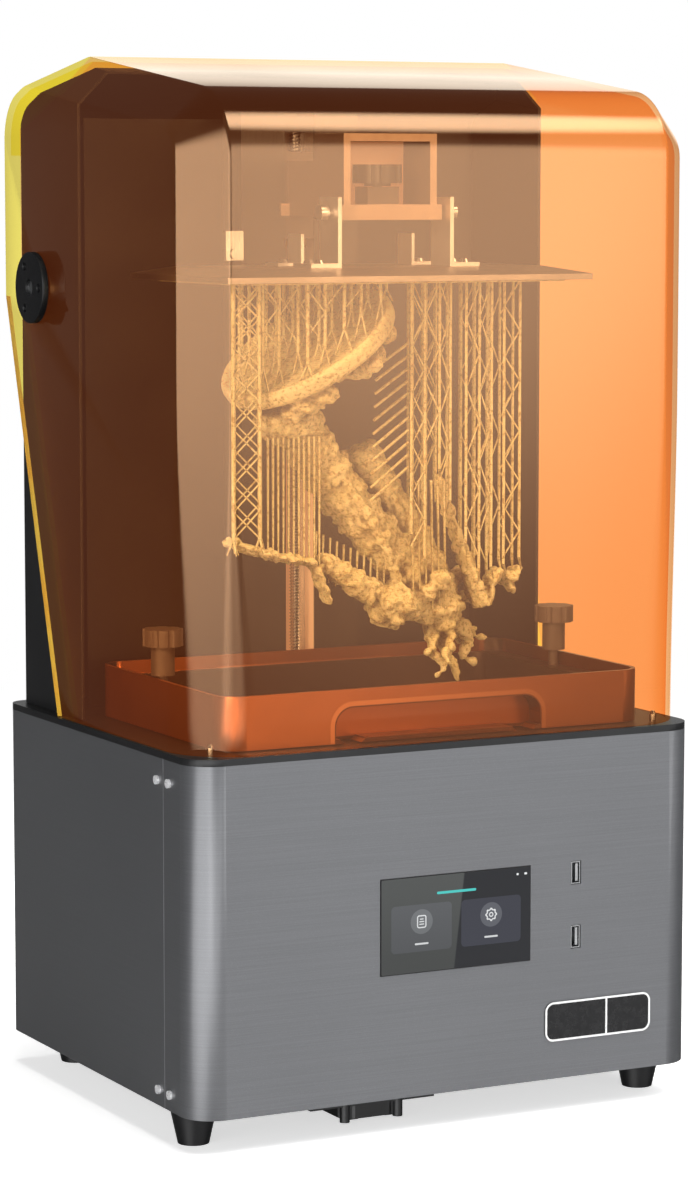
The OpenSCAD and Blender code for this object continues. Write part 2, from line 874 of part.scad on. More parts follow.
module stepper_motor() {
    h = motor_w / 2;
    color("#2c2c30") difference() {
        union() {
            block([-h, screw_y - h, motor_z0 + 8], [h, screw_y + h, motor_z1 - 8]);
            block([1 - h, screw_y - h + 1, motor_z0], [h - 1, screw_y + h - 1, motor_z1]);
        }
        translate([0, screw_y, motor_z0 + 3]) cylinder(r = 12, h = motor_z1 - motor_z0 - 6);
        translate([0, screw_y, motor_z0]) cylinder(r = 4, h = motor_z1 - motor_z0 + over);
    }
}

module motor_rotor() {
    low = motor_z0 + 3.5;
    color(steel) translate([0, screw_y, 0]) {
        translate([0, 0, low]) cylinder(r = 2.5, h = coupler_z0 + coupler_split - 1 - low);
        translate([0, 0, motor_z0 + 7]) cylinder(r = 11.5, h = motor_z1 - motor_z0 - 14);
    }
}

module top_bearing() {
    x = slot_w / 2 - fit_gap;
    color(black_plastic) difference() {
        block([-x, column_y0 + 0.5, column_z1 - 12], [x, rail_y - fit_gap, column_z1 - 2]);
        translate([0, screw_y, column_z1 - 13]) cylinder(r = lead_r + run_gap, h = 12);
    }
}

// Switch on the column's flank that the lift trips at the top of its travel
module limit_switch() {
    x = -column_w / 2;
    z = plate_z + 10;
    color(aluminium) difference() {
        block([x - 12, column_y0 - 3, z], [x, column_y0 - 1, z + 18]);
        rod_y([x - 6, column_y0 - 4, z + 4], 2 + run_gap, 4);
    }
    color(black_plastic) block([x - 11, column_y0 - 1, z + 7], [x, column_y0 + 6, z + 17]);
    color(steel) {
        rod_y([x - 6, column_y0 - 4.4, z + 4], 3.2, 1.4);
        rod_y([x - 6, column_y0 - 3, z + 4], 2, 5);
    }
}

// Block that rides between the guide rails on the screw's nut
module lift_block() {
    wide = slot_w / 2 - fit_gap;
    narrow = slot_w / 2 - rail_t - run_gap;
    color(aluminium) difference() {
        union() {
            block([-wide, column_y0 + 0.5, block_z0], [wide, rail_y - run_gap, block_z1]);
            block([-narrow, rail_y - 1, block_z0], [narrow, rail_y + rail_d, block_z1]);
        }
        translate([0, screw_y, block_z0 - over])
            cylinder(r = lead_r + 0.6, h = block_z1 - block_z0 + 2 * over);
        translate([0, screw_y, block_z0 - over]) cylinder(r = 5.2 + run_gap, h = 24 + over);
    }
}

module lift_nut() {
    color(brass) translate([0, screw_y, block_z0]) difference() {
        union() {
            translate([0, 0, -3]) cylinder(r = 5.2, h = 26);
            translate([0, 0, -5]) cylinder(r = 7.4, h = 5);
        }
        translate([0, 0, -6]) cylinder(r = lead_r + run_gap, h = 30);
    }
}

// Arm that reaches from the lift block to an open-fronted pocket above the plate's pivot
module lift_arm() {
    floor_top = arm_z0 + arm_floor_t;
    bar_half_w = hanger_x - hanger_t / 2 - 1.5;
    color(aluminium) difference() {
        union() {
            block([-8.5, pocket_y1, arm_z0 + 1.5], [8.5, column_y0 + 0.5, arm_z0 + 35]);
            difference() {
                block([-pocket_half_w, pocket_y0, arm_z0], [pocket_half_w, pocket_y1, arm_z1]);
                block([pocket_wall - pocket_half_w, pocket_y0 - over, floor_top],
                    [pocket_half_w - pocket_wall, pocket_y1 - pocket_wall, arm_z1 - pocket_wall]);
            }
            block([-bar_half_w, pocket_y0, arm_z0], [bar_half_w, pocket_y0 + 9, floor_top]);
            block([-10.5, clamp_y - 8, floor_top - 1], [10.5, clamp_y + 8, floor_top + 10.5]);
            block([-14.5, column_y0 - 3, arm_z0 + 1.5], [-8, column_y0 - 1, arm_z0 + 9]);
        }
        rod_x([-half_w, pivot_y, pivot_z], rod_r + run_gap, body_w);
        translate([0, clamp_y, arm_z0 + 2]) cylinder(r = clamp_r + run_gap, h = arm_floor_t + 12);
        for (x = [-4.5, 4.5], z = [9, 29]) {
            rod_y([x, column_y0 - 6, arm_z0 + z], 1.25, 8);
        }
    }
}

// Rod that the plate hangs from, with a round button at each end
module pivot_rod() {
    len = 2 * (hanger_x + 8);
    color(steel) translate([-len / 2, pivot_y, pivot_z]) {
        rod_x([0, 0, 0], rod_r, len);
        rod_x([0, 0, 0], 4.6, 5);
        rod_x([len - 5, 0, 0], 4.6, 5);
    }
}

// Star knob that locks the plate's angle
module clamp_knob() {
    z = arm_z0 + arm_floor_t + 10.5;
    color(black_plastic) translate([0, clamp_y, 0]) {
        translate([0, 0, z + 2]) lobed_head(14.6, 11, 6, 4);
        translate([0, 0, z + 0.3]) cylinder(r = 8, h = 3);
        translate([0, 0, arm_z0 + 3]) cylinder(r = clamp_r, h = z - arm_z0);
    }
}

// ---------- Build plate ----------

// Half of a plate's section: thin at the edge, full thickness past the slope
function hipped(a, b) = [
    [a, plate_z], [a, plate_z + plate_edge_t], [a + plate_slope, plate_top],
    [b - plate_slope, plate_top], [b, plate_z + plate_edge_t], [b, plate_z]
];

module build_plate() {
    color("#c9c3b8") difference() {
        intersection() {
            slab(plate_w / 2, hipped(plate_y0, plate_y1));
            translate([0, plate_y1 + over, 0]) rotate([90, 0, 0])
                linear_extrude(plate_d + 2 * over) polygon(hipped(-plate_w / 2, plate_w / 2));
        }
        for (p = concat(hanger_screws, guide_screws), s = [-1, 1]) {
            translate([s * p[0], p[1], plate_top - 6]) cylinder(r = screw_r + run_gap, h = 6 + over);
        }
    }
}

// L bracket: an upright plate with a foot that points outward
module bracket(x, t, y0, y1, h, foot) {
    block([x, y0, plate_top], [x + t, y1, plate_top + h]);
    block([x, y0, plate_top], [x + foot, y1, plate_top + t]);
}

// Two tall hangers for the pivot rod and two short guides behind them
module plate_brackets() {
    color(aluminium) both_sides() difference() {
        union() {
            bracket(hanger_x - hanger_t / 2, hanger_t, pivot_y - 12, pivot_y + 12, 41, 20);
            bracket(hanger_x - 1, 2, bracket_y - 9, bracket_y + 9, 19, 17);
        }
        rod_x([0, pivot_y, pivot_z], rod_r + run_gap, half_w);
        for (p = concat(hanger_screws, guide_screws)) {
            translate([p[0], p[1], plate_top - over]) cylinder(r = screw_r + 0.1, h = 6);
        }
    }
}

module plate_screws() {
    color(steel) for (s = [-1, 1]) {
        for (p = hanger_screws) dome_screw([s * p[0], p[1], plate_top + hanger_t]);
        for (p = guide_screws) dome_screw([s * p[0], p[1], plate_top + 2]);
    }
}

// Upright screw with its head's underside at p
module dome_screw(p) {
    translate(p) {
        cylinder(r1 = 3.4, r2 = 2.2, h = 2);
        translate([0, 0, -6]) cylinder(r = screw_r, h = 6);
    }
}

// Straight round bar from a to b
module limb(a, b, r) {
    v = b - a;
    translate(a) rotate([0, acos(v[2] / norm(v)), atan2(v[1], v[0])]) cylinder(r = r, h = norm(v));
}

// Plain stand-in for a finished print: a raft, supports, a tilted round base and a bent trunk
module sample_print() {
    low = plate_z - print_h;
    mid_y = (plate_y0 + plate_y1) / 2;
    disc = [-31, mid_y, plate_z - 52];
    neck = [-38, mid_y, plate_z - 92];
    knee = [-8, mid_y, plate_z - 132];
    hip = [32, mid_y, plate_z - 180];
    color(resin_tan) {
        block([-108, mid_y - 44, plate_z - 2], [108, mid_y + 44, plate_z]);
        translate(disc) rotate([12, -22, 0]) translate([0, 0, -5]) cylinder(r = 58, h = 10);
        limb([disc[0], disc[1], disc[2] - 2], neck, 14);
        translate(neck) sphere(r = 18);
        limb(neck, knee, 13);
        translate(knee) sphere(r = 17);
        limb(knee, hip, 13);
        translate(hip) sphere(r = 18);
        limb(hip, [72, mid_y, low + 5], 5);
        limb(knee, [-74, mid_y, plate_z - 152], 5);
        limb(hip, [100, mid_y, plate_z - 196], 5);
        for (x = [-76, -31, 14]) {
            limb([x, mid_y, disc[2] + 0.4 * (x - disc[0])], [x, mid_y, plate_z - 1], 2.5);
        }
        for (x = [62, 98]) {
            limb([x, mid_y, plate_z - 190], [x, mid_y, plate_z - 1], 2.5);
        }
    }
}

// ---------- Vat ----------

// Grip pocket in the vat's front face, with round upper corners
module grip_pocket() {
    half = 68;
    top = ledge_z - 2.6;
    low = vat_z0 + 2.6;
    r = 11;
    depth = 14;
    translate([0, vat_y0 + depth, 0]) rotate([90, 0, 0]) linear_extrude(depth + over) {
        for (s = [-1, 1]) translate([s * (half - r), top - r]) circle(r);
        translate([r - half, low]) square([2 * (half - r), top - low]);
        translate([-half, low]) square([2 * half, top - r - low]);
    }
}

module vat_tank() {
    color(black_paint) difference() {
        translate([0, 0, vat_z0]) linear_extrude(vat_h)
            round_rect([-vat_w / 2, vat_y0], [vat_w / 2, vat_y1], vat_r);
        translate([0, 0, ledge_z]) linear_extrude(vat_h)
            round_rect([vat_wall - vat_w / 2, vat_y0 + vat_wall],
                [vat_w / 2 - vat_wall, vat_y1 - vat_wall], vat_r - vat_wall);
        translate([0, 0, vat_z0 - over]) linear_extrude(vat_h)
            round_rect([-well_x, well_y0], [well_x, well_y1], well_r);
        translate([0, 0, vat_z0 - over]) linear_extrude(rebate_t + over)
            film_outline(fit_gap);
        for (s = [-1, 1]) {
            translate([s * knob_x, knob_y, vat_z0 - over]) cylinder(r = 3.3, h = vat_h);
        }
        grip_pocket();
    }
}

// Outline of the film and its frame, grown outward by extra
module film_outline(extra = 0) {
    reach = rebate - fit_gap + extra;
    round_rect([-well_x - reach, well_y0 - reach], [well_x + reach, well_y1 + reach],
        well_r + reach);
}

module vat_film() {
    color("#dfe6ea", 0.5) translate([0, 0, vat_z0 - film_t]) linear_extrude(film_t) film_outline();
}

module film_frame() {
    color(aluminium) translate([0, 0, vat_z0]) linear_extrude(rebate_t) difference() {
        film_outline();
        round_rect([-well_x, well_y0], [well_x, well_y1], well_r);
    }
}

// Captive star knob that screws the vat down
module vat_knob(side) {
    color(black_plastic) translate([side * knob_x, knob_y, 0]) {
        translate([0, 0, vat_z1 + 19]) lobed_head(12, 10, 8, 2.6);
        translate([0, 0, vat_z1 + 1.6]) cylinder(r = 7, h = 18);
        translate([0, 0, shell_z1 - 5]) cylinder(r = 3, h = vat_z1 + 3 - shell_z1 + 5);
    }
}

module vat_knob_left() {
    vat_knob(-1);
}

module vat_knob_right() {
    vat_knob(1);
}

front_shell();
rear_shell();
bottom_plate();
seam_posts();
side_screws();
feet();
foot_screws();
top_deck();
screen_glass();
screen_module();
data_sockets();
socket_board();
badge_plate();
mainboard();
power_supply();
power_inlet();
switch_frame();
power_rocker();
rear_fan_frame();
rear_fan_rotor();
underside_fan_frame();
underside_fan_rotor();
light_housing();
light_stands();
led_array();
reflector_plate();
fresnel_lens();
heatsink();
mask_panel();
mask_glass();
mask_frame();
deck_pins();
knob_bushes();
tower_shell();
tower_panel();
z_column();
guide_rails();
lead_screw();
screw_coupler();
stepper_motor();
motor_rotor();
top_bearing();
limit_switch();
lift_block();
lift_nut();
lift_arm();
pivot_rod();
clamp_knob();
build_plate();
plate_brackets();
plate_screws();
sample_print();
vat_tank();
vat_film();
film_frame();
vat_knob_left();
vat_knob_right();
hinge_pins();
canopy();
hinge_covers();
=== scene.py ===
import json
import math
import random

import bmesh
import bpy
from mathutils import Matrix, Vector, noise


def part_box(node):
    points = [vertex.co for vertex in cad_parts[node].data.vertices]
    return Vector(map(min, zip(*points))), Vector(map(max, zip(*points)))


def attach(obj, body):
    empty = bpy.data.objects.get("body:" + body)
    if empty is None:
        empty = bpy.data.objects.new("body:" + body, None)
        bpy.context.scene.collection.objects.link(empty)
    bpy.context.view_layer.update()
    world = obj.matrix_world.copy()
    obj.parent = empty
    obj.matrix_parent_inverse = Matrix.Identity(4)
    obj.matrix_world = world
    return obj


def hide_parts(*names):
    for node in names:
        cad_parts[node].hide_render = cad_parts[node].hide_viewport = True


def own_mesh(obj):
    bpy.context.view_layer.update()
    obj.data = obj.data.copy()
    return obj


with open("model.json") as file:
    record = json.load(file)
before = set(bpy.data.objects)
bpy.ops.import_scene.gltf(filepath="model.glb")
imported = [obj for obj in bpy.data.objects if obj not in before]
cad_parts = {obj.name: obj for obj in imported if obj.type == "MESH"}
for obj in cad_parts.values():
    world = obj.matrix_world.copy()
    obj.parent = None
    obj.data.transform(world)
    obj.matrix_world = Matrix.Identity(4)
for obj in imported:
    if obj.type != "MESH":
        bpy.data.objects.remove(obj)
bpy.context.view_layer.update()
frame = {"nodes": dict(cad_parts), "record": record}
nodes = frame["nodes"]
MM = 0.001
# Half the width of the column's slot
SLOT_HALF = 10 * MM

# The canopy: its box, its wall, the facets at its corners, its brow, how its roof rises to a ridge
# and falls behind it, its nape, its slanted rim, and how its round lower corners turn into facets
LID_LOW, LID_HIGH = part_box("canopy")
LID_WALL = 3 * MM
FACET = 23 * MM
BROW_R = 40 * MM
ROOF_RISE = 0.1315
RIDGE_Y = 56 * MM
REAR_FALL = 0.36
NAPE_R = 30 * MM
SLANT_FOOT = Vector((0, 59 * MM, LID_LOW.z))
SLANT_HEAD = Vector((0, LID_HIGH.y, 480 * MM))
CREASE_R = 3.5 * MM
ROUND_R = 38 * MM
ROUND_TOP = 430 * MM
ROUND_ROWS = 12
# The yellow band along its rear rims
REAR_STRIP = 24 * MM


# ---------- Node helpers ----------

class Shader:
    """Node tree of a material or world, with short calls for the nodes that this scene uses."""

    def __init__(self, name, world=False):
        self.owner = (bpy.data.worlds if world else bpy.data.materials).new(name)
        self.owner.use_nodes = True
        self.tree = self.owner.node_tree
        self.tree.nodes.clear()
        self.out = self.node("OutputWorld" if world else "OutputMaterial")

    def node(self, kind, **settings):
        made = self.tree.nodes.new("ShaderNode" + kind)
        for key, value in settings.items():
            setattr(made, key, value)
        return made

    def put(self, source, socket):
        """Links a node, a socket or a plain value to an input socket."""
        if isinstance(source, bpy.types.Node):
            source = source.outputs[0]
        if isinstance(source, bpy.types.NodeSocket):
            self.tree.links.new(source, socket)
        elif socket.type == "RGBA":
            socket.default_value = (*source, 1.0)
        else:
            socket.default_value = source

    def position(self):
        """The point's place in the frame at rest, which moves along with its body."""
        return self.node("TexCoord").outputs["Object"]

    def normal(self):
        """The surface's normal at rest."""
        return self.node("TexCoord").outputs["Normal"]

    def scaled(self, factors):
        """Position in the frame, stretched along each axis."""
        return self.filled("Mapping", Vector=self.position(), Scale=factors)

    def wired(self, kind, *sources, **settings):
        """A node with its first inputs set in their order."""
        made = self.node(kind, **settings)
        for source, socket in zip(sources, made.inputs):
            self.put(source, socket)
        return made

    def filled(self, kind, **inputs):
        """A node with its inputs set by name, with _ for a space."""
        made = self.node(kind)
        for key, value in inputs.items():
            self.put(value, made.inputs[key.replace("_", " ")])
        return made

    def axes(self, vector):
        return self.wired("SeparateXYZ", vector).outputs[:]

    def math(self, operation, *values):
        return self.wired("Math", *values, operation=operation)

    def times(self, a, *others):
        for other in others:
            a = self.math("MULTIPLY", a, other)
        return a

    def plus(self, a, b):
        return self.math("ADD", a, b)

    def minus(self, a, b):
        return self.math("SUBTRACT", a, b)

    def larger(self, a, b):
        return self.math("MAXIMUM", a, b)

    def size_of(self, a):
        return self.math("ABSOLUTE", a)

    def vector(self, operation, *vectors):
        return self.wired("VectorMath", *vectors, operation=operation)

    def dot(self, a, b):
        return self.vector("DOT_PRODUCT", a, b).outputs["Value"]

    def noise(self, scale, detail=4.0, roughness=0.55, stretch=(1, 1, 1)):
        return self.filled("TexNoise", Vector=self.scaled(stretch), Scale=scale, Detail=detail,
                           Roughness=roughness).outputs["Fac"]

    def fade(self, value, start, end, low=0.0, high=1.0):
        """A value mapped smoothly from start..end to low..high and held past both."""
        made = self.wired("MapRange", value, start, end, low, high,
                          interpolation_type="SMOOTHSTEP")
        return made.outputs["Result"]

    def past(self, value, limit, soft):
        """1 where the value is past the limit, rising over a soft edge."""
        return self.fade(value, limit, limit + soft)

    def before(self, value, limit, soft):
        """1 where the value is before the limit, falling over a soft edge."""
        return self.fade(value, limit, limit + soft, 1.0, 0.0)

    def mix(self, factor, a, b):
        """Mix of two colours."""
        made = self.node("Mix", data_type="RGBA")
        self.put(factor, made.inputs["Factor"])
        self.put(a, made.inputs["A"])
        self.put(b, made.inputs["B"])
        return made.outputs["Result"]

    def spread(self, noise_value, low, high):
        """A value that drifts between two with a noise."""
        return self.fade(noise_value, 0.3, 0.7, low, high)

    def patchy(self, noise_value, a, b):
        """Colour that drifts between two with a noise."""
        return self.mix(self.spread(noise_value, 0.0, 1.0), a, b)

    def tinted(self, kind, colour, **inputs):
        return self.filled(kind, Color=colour, **inputs)

    def principled(self, **inputs):
        return self.filled("BsdfPrincipled", **inputs)

    def finish(self, **inputs):
        """The material or world, with one principled shader."""
        return self.surface(self.principled(**inputs))

    def layered(self, under, over, share):
        """Two shaders, with over taking its share."""
        return self.wired("MixShader", share, under, over)

    def summed(self, *shaders):
        return self.wired("AddShader", *shaders)

    def bump(self, height, strength, distance):
        return self.filled("Bump", Height=height, Strength=strength, Distance=distance)

    def surface(self, shader):
        self.put(shader, self.out.inputs["Surface"])
        return self.owner


# ---------- Materials ----------

def metal(name, light, dark, roughness, grain=(90, 90, 4)):
    """Metal with a drawn grain along one axis."""
    s = Shader(name)
    lines = s.noise(40, 5, stretch=grain)
    return s.finish(
        Base_Color=s.patchy(lines, dark, light), Metallic=1.0,
        Roughness=s.spread(s.noise(25, 3), roughness * 0.8, roughness * 1.25),
        Normal=s.bump(lines, 0.12, 0.2 * MM))


def grained(name, light, dark, roughness, grain_scale=1800, depth=0.25, metallic=0.0, coat=0.0):
    """Moulded plastic or powder paint with a fine even grain."""
    s = Shader(name)
    grain = s.noise(grain_scale, 2)
    return s.finish(
        Base_Color=s.patchy(s.noise(12, 4), dark, light), Metallic=metallic,
        Roughness=s.fade(grain, 0.25, 0.75, roughness * 0.85, roughness * 1.15),
        Coat_Weight=coat, Normal=s.bump(grain, depth, 0.2 * MM))


def shell_paint():
    """Satin grey metallic paint over sheet metal, streaked along the sheet, with a painted
    highlight along the seam.
    """
    s = Shader("shell_paint")
    streaks = s.noise(6, 6, 0.7, (2, 2, 420))
    flakes = s.noise(2600, 1)
    cloud = s.noise(6, 3)
    y = s.axes(s.position())[1]
    colour = s.patchy(streaks, (0.165, 0.169, 0.180), (0.200, 0.204, 0.216))
    colour = s.mix(s.fade(flakes, 0.55, 0.8, 0.0, 0.35), colour, (0.3, 0.31, 0.33))
    colour = s.mix(s.spread(cloud, 0.0, 0.12), colour, (0.12, 0.12, 0.13))
    off_seam = s.size_of(s.minus(y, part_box("front_shell")[1].y))
    # Painted highlight: a thin lighter line on the faces along the seam between the two shells.
    sheen_and_wear = s.fade(off_seam, 0.3 * MM, 0.8 * MM, 0.45, 0.0)
    return s.finish(
        Base_Color=s.mix(sheen_and_wear, colour, (0.60, 0.60, 0.62)), Metallic=0.55,
        Roughness=s.spread(streaks, 0.36, 0.46), Coat_Weight=0.9, Coat_Roughness=0.2,
        Normal=s.bump(s.plus(streaks, flakes), 0.05, 0.1 * MM))


def badge_finish():
    """Gloss black with its raised rim in white."""
    s = Shader("badge_finish")
    raised = s.before(s.axes(s.position())[1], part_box("badge_plate")[0].y + 0.10 * MM, 0.06 * MM)
    sheen_and_wear = s.noise(300, 3)
    dark = s.patchy(sheen_and_wear, (0.006, 0.006, 0.007), (0.012, 0.012, 0.013))
    return s.finish(Base_Color=s.mix(raised, dark, (0.86, 0.86, 0.86)),
                    Roughness=s.spread(sheen_and_wear, 0.2, 0.3))


def board_green():
    """Circuit board: green mask over a faint grid of tracks."""
    s = Shader("board")
    tracks = s.filled("TexBrick", Vector=s.scaled((160, 160, 160)), Color1=(0.012, 0.10, 0.05),
                      Color2=(0.015, 0.13, 0.06), Mortar=(0.03, 0.2, 0.1))
    return s.finish(Base_Color=tracks.outputs["Color"], Roughness=0.35,
                    Normal=s.bump(tracks.outputs["Fac"], 0.2, 0.1 * MM))


def print_resin():
    """Cured tan resin: level layer lines, fine cracks and painted shade in the hollows."""
    s = Shader("print_resin")
    layers = s.filled("TexWave", Vector=s.scaled((1, 1, 1)), Scale=300, Distortion=0.4)
    layers.bands_direction = "Z"
    cracks = s.noise(420, 5, 0.7)
    # Painted shade: an occlusion node finds the hollows, where the colour is darkened.
    hollow_shade = s.filled("AmbientOcclusion", Distance=9 * MM)
    hollow_shade.samples, hollow_shade.only_local = 6, True
    colour = s.patchy(s.noise(40, 4), (0.74, 0.70, 0.40), (0.86, 0.84, 0.55))
    colour = s.mix(s.fade(cracks, 0.36, 0.52), (0.42, 0.32, 0.13), colour)
    # Painted shade in the hollows.
    colour = s.mix(s.fade(hollow_shade.outputs["AO"], 0.4, 1.0), (0.15, 0.10, 0.035), colour)
    relief = s.plus(cracks, s.times(layers.outputs["Color"], 0.2))
    return s.finish(
        Base_Color=colour, Roughness=0.5, Subsurface_Weight=0.15,
        Subsurface_Radius=(0.004, 0.002, 0.001), Subsurface_Scale=1.0,
        Normal=s.bump(relief, 0.8, 0.9 * MM))


def clear_film():
    """Clear sheet with a faint shine."""
    s = Shader("clear")
    glossy = s.principled(Base_Color=(0.85, 0.88, 0.9),
                          Roughness=s.spread(s.noise(30, 3), 0.05, 0.12))
    return s.surface(s.layered(s.tinted("BsdfTransparent", (0.93, 0.95, 0.96)), glossy, 0.25))


# The grip pocket in the vat's front wall: half its width, its top above the vat's foot, the radius
# of its corners and its depth
POCKET_HALF = 68 * MM
POCKET_TOP = 20.6 * MM
POCKET_R = 11 * MM
POCKET_DEPTH = 14 * MM
# The ledge between the vat's front wall and its well
VAT_LEDGE = 17 * MM
VAT_WALL = 3.2 * MM


def vat_finish():
    """Copper-toned satin metal with a lip round its grip pocket; painted highlight on the lip,
    painted shade round and in the pocket with its back painted lit, on left faces, towards the
    right and in the well.
    """
    s = Shader("vat_finish")
    low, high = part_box("vat_tank")
    middle, half = (low + high) / 2, (high - low) / 2
    x, y, z = s.axes(s.position())
    normal_x, normal_y, _ = s.axes(s.normal())
    to_front = s.before(normal_y, -0.9, 0.1)
    to_left = s.before(normal_x, -0.9, 0.2)
    well = s.times(s.before(s.size_of(s.minus(x, middle.x)), half.x - VAT_WALL, 0.5 * MM),
                   s.before(s.size_of(s.minus(y, middle.y)), half.y - VAT_WALL, 0.5 * MM),
                   s.past(y, low.y + VAT_LEDGE, 1 * MM))
    past_x = s.larger(s.minus(s.size_of(x), POCKET_HALF - POCKET_R), 0.0)
    past_z = s.larger(s.minus(z, low.z + POCKET_TOP - POCKET_R), 0.0)
    reach = s.math("SQRT", s.plus(s.times(past_x, past_x), s.times(past_z, past_z)))
    # Distance from the line of the painted highlight on the lip round the pocket.
    from_lip_highlight = s.size_of(s.minus(reach, POCKET_R + 2.2 * MM))
    in_pocket = s.times(s.before(reach, POCKET_R, 0.4 * MM), s.past(z, low.z + 1.5 * MM, 0.9 * MM),
                        s.past(y, low.y + 0.2 * MM, 0.4 * MM),
                        s.before(y, low.y + POCKET_DEPTH + 0.3 * MM, 0.7 * MM))
    drawn = s.noise(60, 3)
    colour = s.patchy(drawn, (0.37, 0.108, 0.031), (0.40, 0.118, 0.035))
    for share, over in (
            # Painted shade: a dark line round the grip pocket on the faces that look to the front.
            (s.times(s.before(reach, POCKET_R + 0.3 * MM, 0.8 * MM), to_front),
             (0.06, 0.015, 0.006)),
            # Painted highlight: a bright line on the lip round the pocket.
            (s.times(s.before(from_lip_highlight, 0.9 * MM, 0.9 * MM), to_front), (0.60, 0.22, 0.09)),
            # Painted shade on the faces that look to the left.
            (s.times(to_left, 0.65), (0.10, 0.02, 0.008)),
            # Painted light and shade in the pocket: its back is painted lit, its other faces are
            # painted shaded.
            (in_pocket, s.mix(s.times(to_front, in_pocket), (0.07, 0.012, 0.004),
                              (0.46, 0.11, 0.025))),
            # Painted shade, darker towards the right.
            (s.fade(x, low.x, high.x, 0.0, 0.75), (0.10, 0.035, 0.014)),
            # Painted shade in the well inside the vat.
            (well, (0.05, 0.03, 0.02))):
        colour = s.mix(share, colour, over)
    return s.finish(Base_Color=colour, Metallic=0.6, Roughness=s.spread(drawn, 0.28, 0.32))


def column_finish():
    """Black column whose slot walls are painted lit and glowing, brightest low down."""
    s = Shader("column_finish")
    low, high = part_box("z_column")
    tall = high.z - low.z
    x, y, z = s.axes(s.position())
    drawn = s.noise(4, 4, stretch=(300, 300, 3))
    lit_slot_tone = s.patchy(drawn, (0.62, 0.52, 0.42), (0.78, 0.68, 0.56))
    dark = s.patchy(drawn, (0.035, 0.032, 0.03), (0.05, 0.046, 0.042))
    # Painted light: the slot's walls are painted pale and glow, brightest low down and fading
    # upwards.
    slot_light = s.times(s.before(s.size_of(x), SLOT_HALF, 0.5 * MM),
                     s.past(y, low.y + 0.5 * MM, 1.5 * MM),
                     s.fade(z, low.z + 0.35 * tall, low.z + 0.5 * tall, 1.0, 0.12))
    return s.finish(Base_Color=s.mix(slot_light, dark, lit_slot_tone), Metallic=0.3, Roughness=0.4,
                    Emission_Color=(1.0, 0.62, 0.40), Emission_Strength=s.times(slot_light, 0.28))


def arm_finish():
    """Warm paint with painted shade on the faces that look left, dark on the boss under the knob,
    and painted light glowing on the pocket's back.
    """
    s = Shader("arm_finish")
    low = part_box("lift_arm")[0]
    x, y, z = s.axes(s.position())
    normal_x, normal_y, _ = s.axes(s.normal())
    boss = s.times(s.before(s.size_of(x), 11 * MM, 0.5 * MM),
                   s.before(y, low.y + 25.5 * MM, 0.5 * MM),
                   s.past(z, low.z + 9 * MM, 0.3 * MM), s.before(z, low.z + 20.5 * MM, 0.5 * MM))
    # Painted light: the pocket's back glows as if lit.
    pocket_back_light = s.times(s.before(normal_y, -0.8, 0.2), s.past(y, low.y + 28 * MM, 2 * MM),
                          s.past(z, low.z + 8 * MM, 1 * MM))
    paint = s.patchy(s.noise(60, 3), (0.36, 0.26, 0.20), (0.42, 0.31, 0.24))
    # Painted shade on the faces that look to the left. The boss under the knob is dark as well.
    dark = s.larger(s.before(normal_x, -0.8, 0.2), boss)
    return s.finish(
        Base_Color=s.mix(dark, paint, (0.07, 0.052, 0.042)), Roughness=0.45,
        Emission_Color=(1.0, 0.56, 0.36), Emission_Strength=s.times(pocket_back_light, 0.22),
        Normal=s.bump(s.noise(1800, 2), 0.25, 0.2 * MM))


def led_white():
    """White board of the light engine with violet emitters standing on it."""
    s = Shader("led_white")
    on_top = s.past(s.axes(s.position())[2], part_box("led_array")[1].z - 1.2 * MM, 0.8 * MM)
    board = s.patchy(s.noise(60, 2), (0.78, 0.79, 0.8), (0.88, 0.88, 0.88))
    return s.finish(Base_Color=s.mix(on_top, board, (0.55, 0.45, 0.8)), Roughness=0.4)


def rear_strip(s, depth, height):
    """1 in the band along the canopy's rear, slanted and falling rims."""
    slant = (SLANT_HEAD - SLANT_FOOT).normalized()
    past_slant = s.minus(s.times(s.minus(depth, SLANT_FOOT.y), slant.z),
                         s.times(s.minus(height, SLANT_FOOT.z), slant.y))
    near_back = s.larger(s.past(depth, LID_HIGH.y - REAR_STRIP - 2 * MM, 2 * MM),
                         s.past(past_slant, -REAR_STRIP - 2 * MM, 2 * MM))
    roof_line = s.plus(height, s.times(s.minus(depth, RIDGE_Y), REAR_FALL))
    near_roof = s.times(s.past(roof_line, LID_HIGH.z - REAR_STRIP, 2 * MM),
                        s.past(depth, RIDGE_Y - 4 * MM, 4 * MM))
    return s.larger(near_back, near_roof)


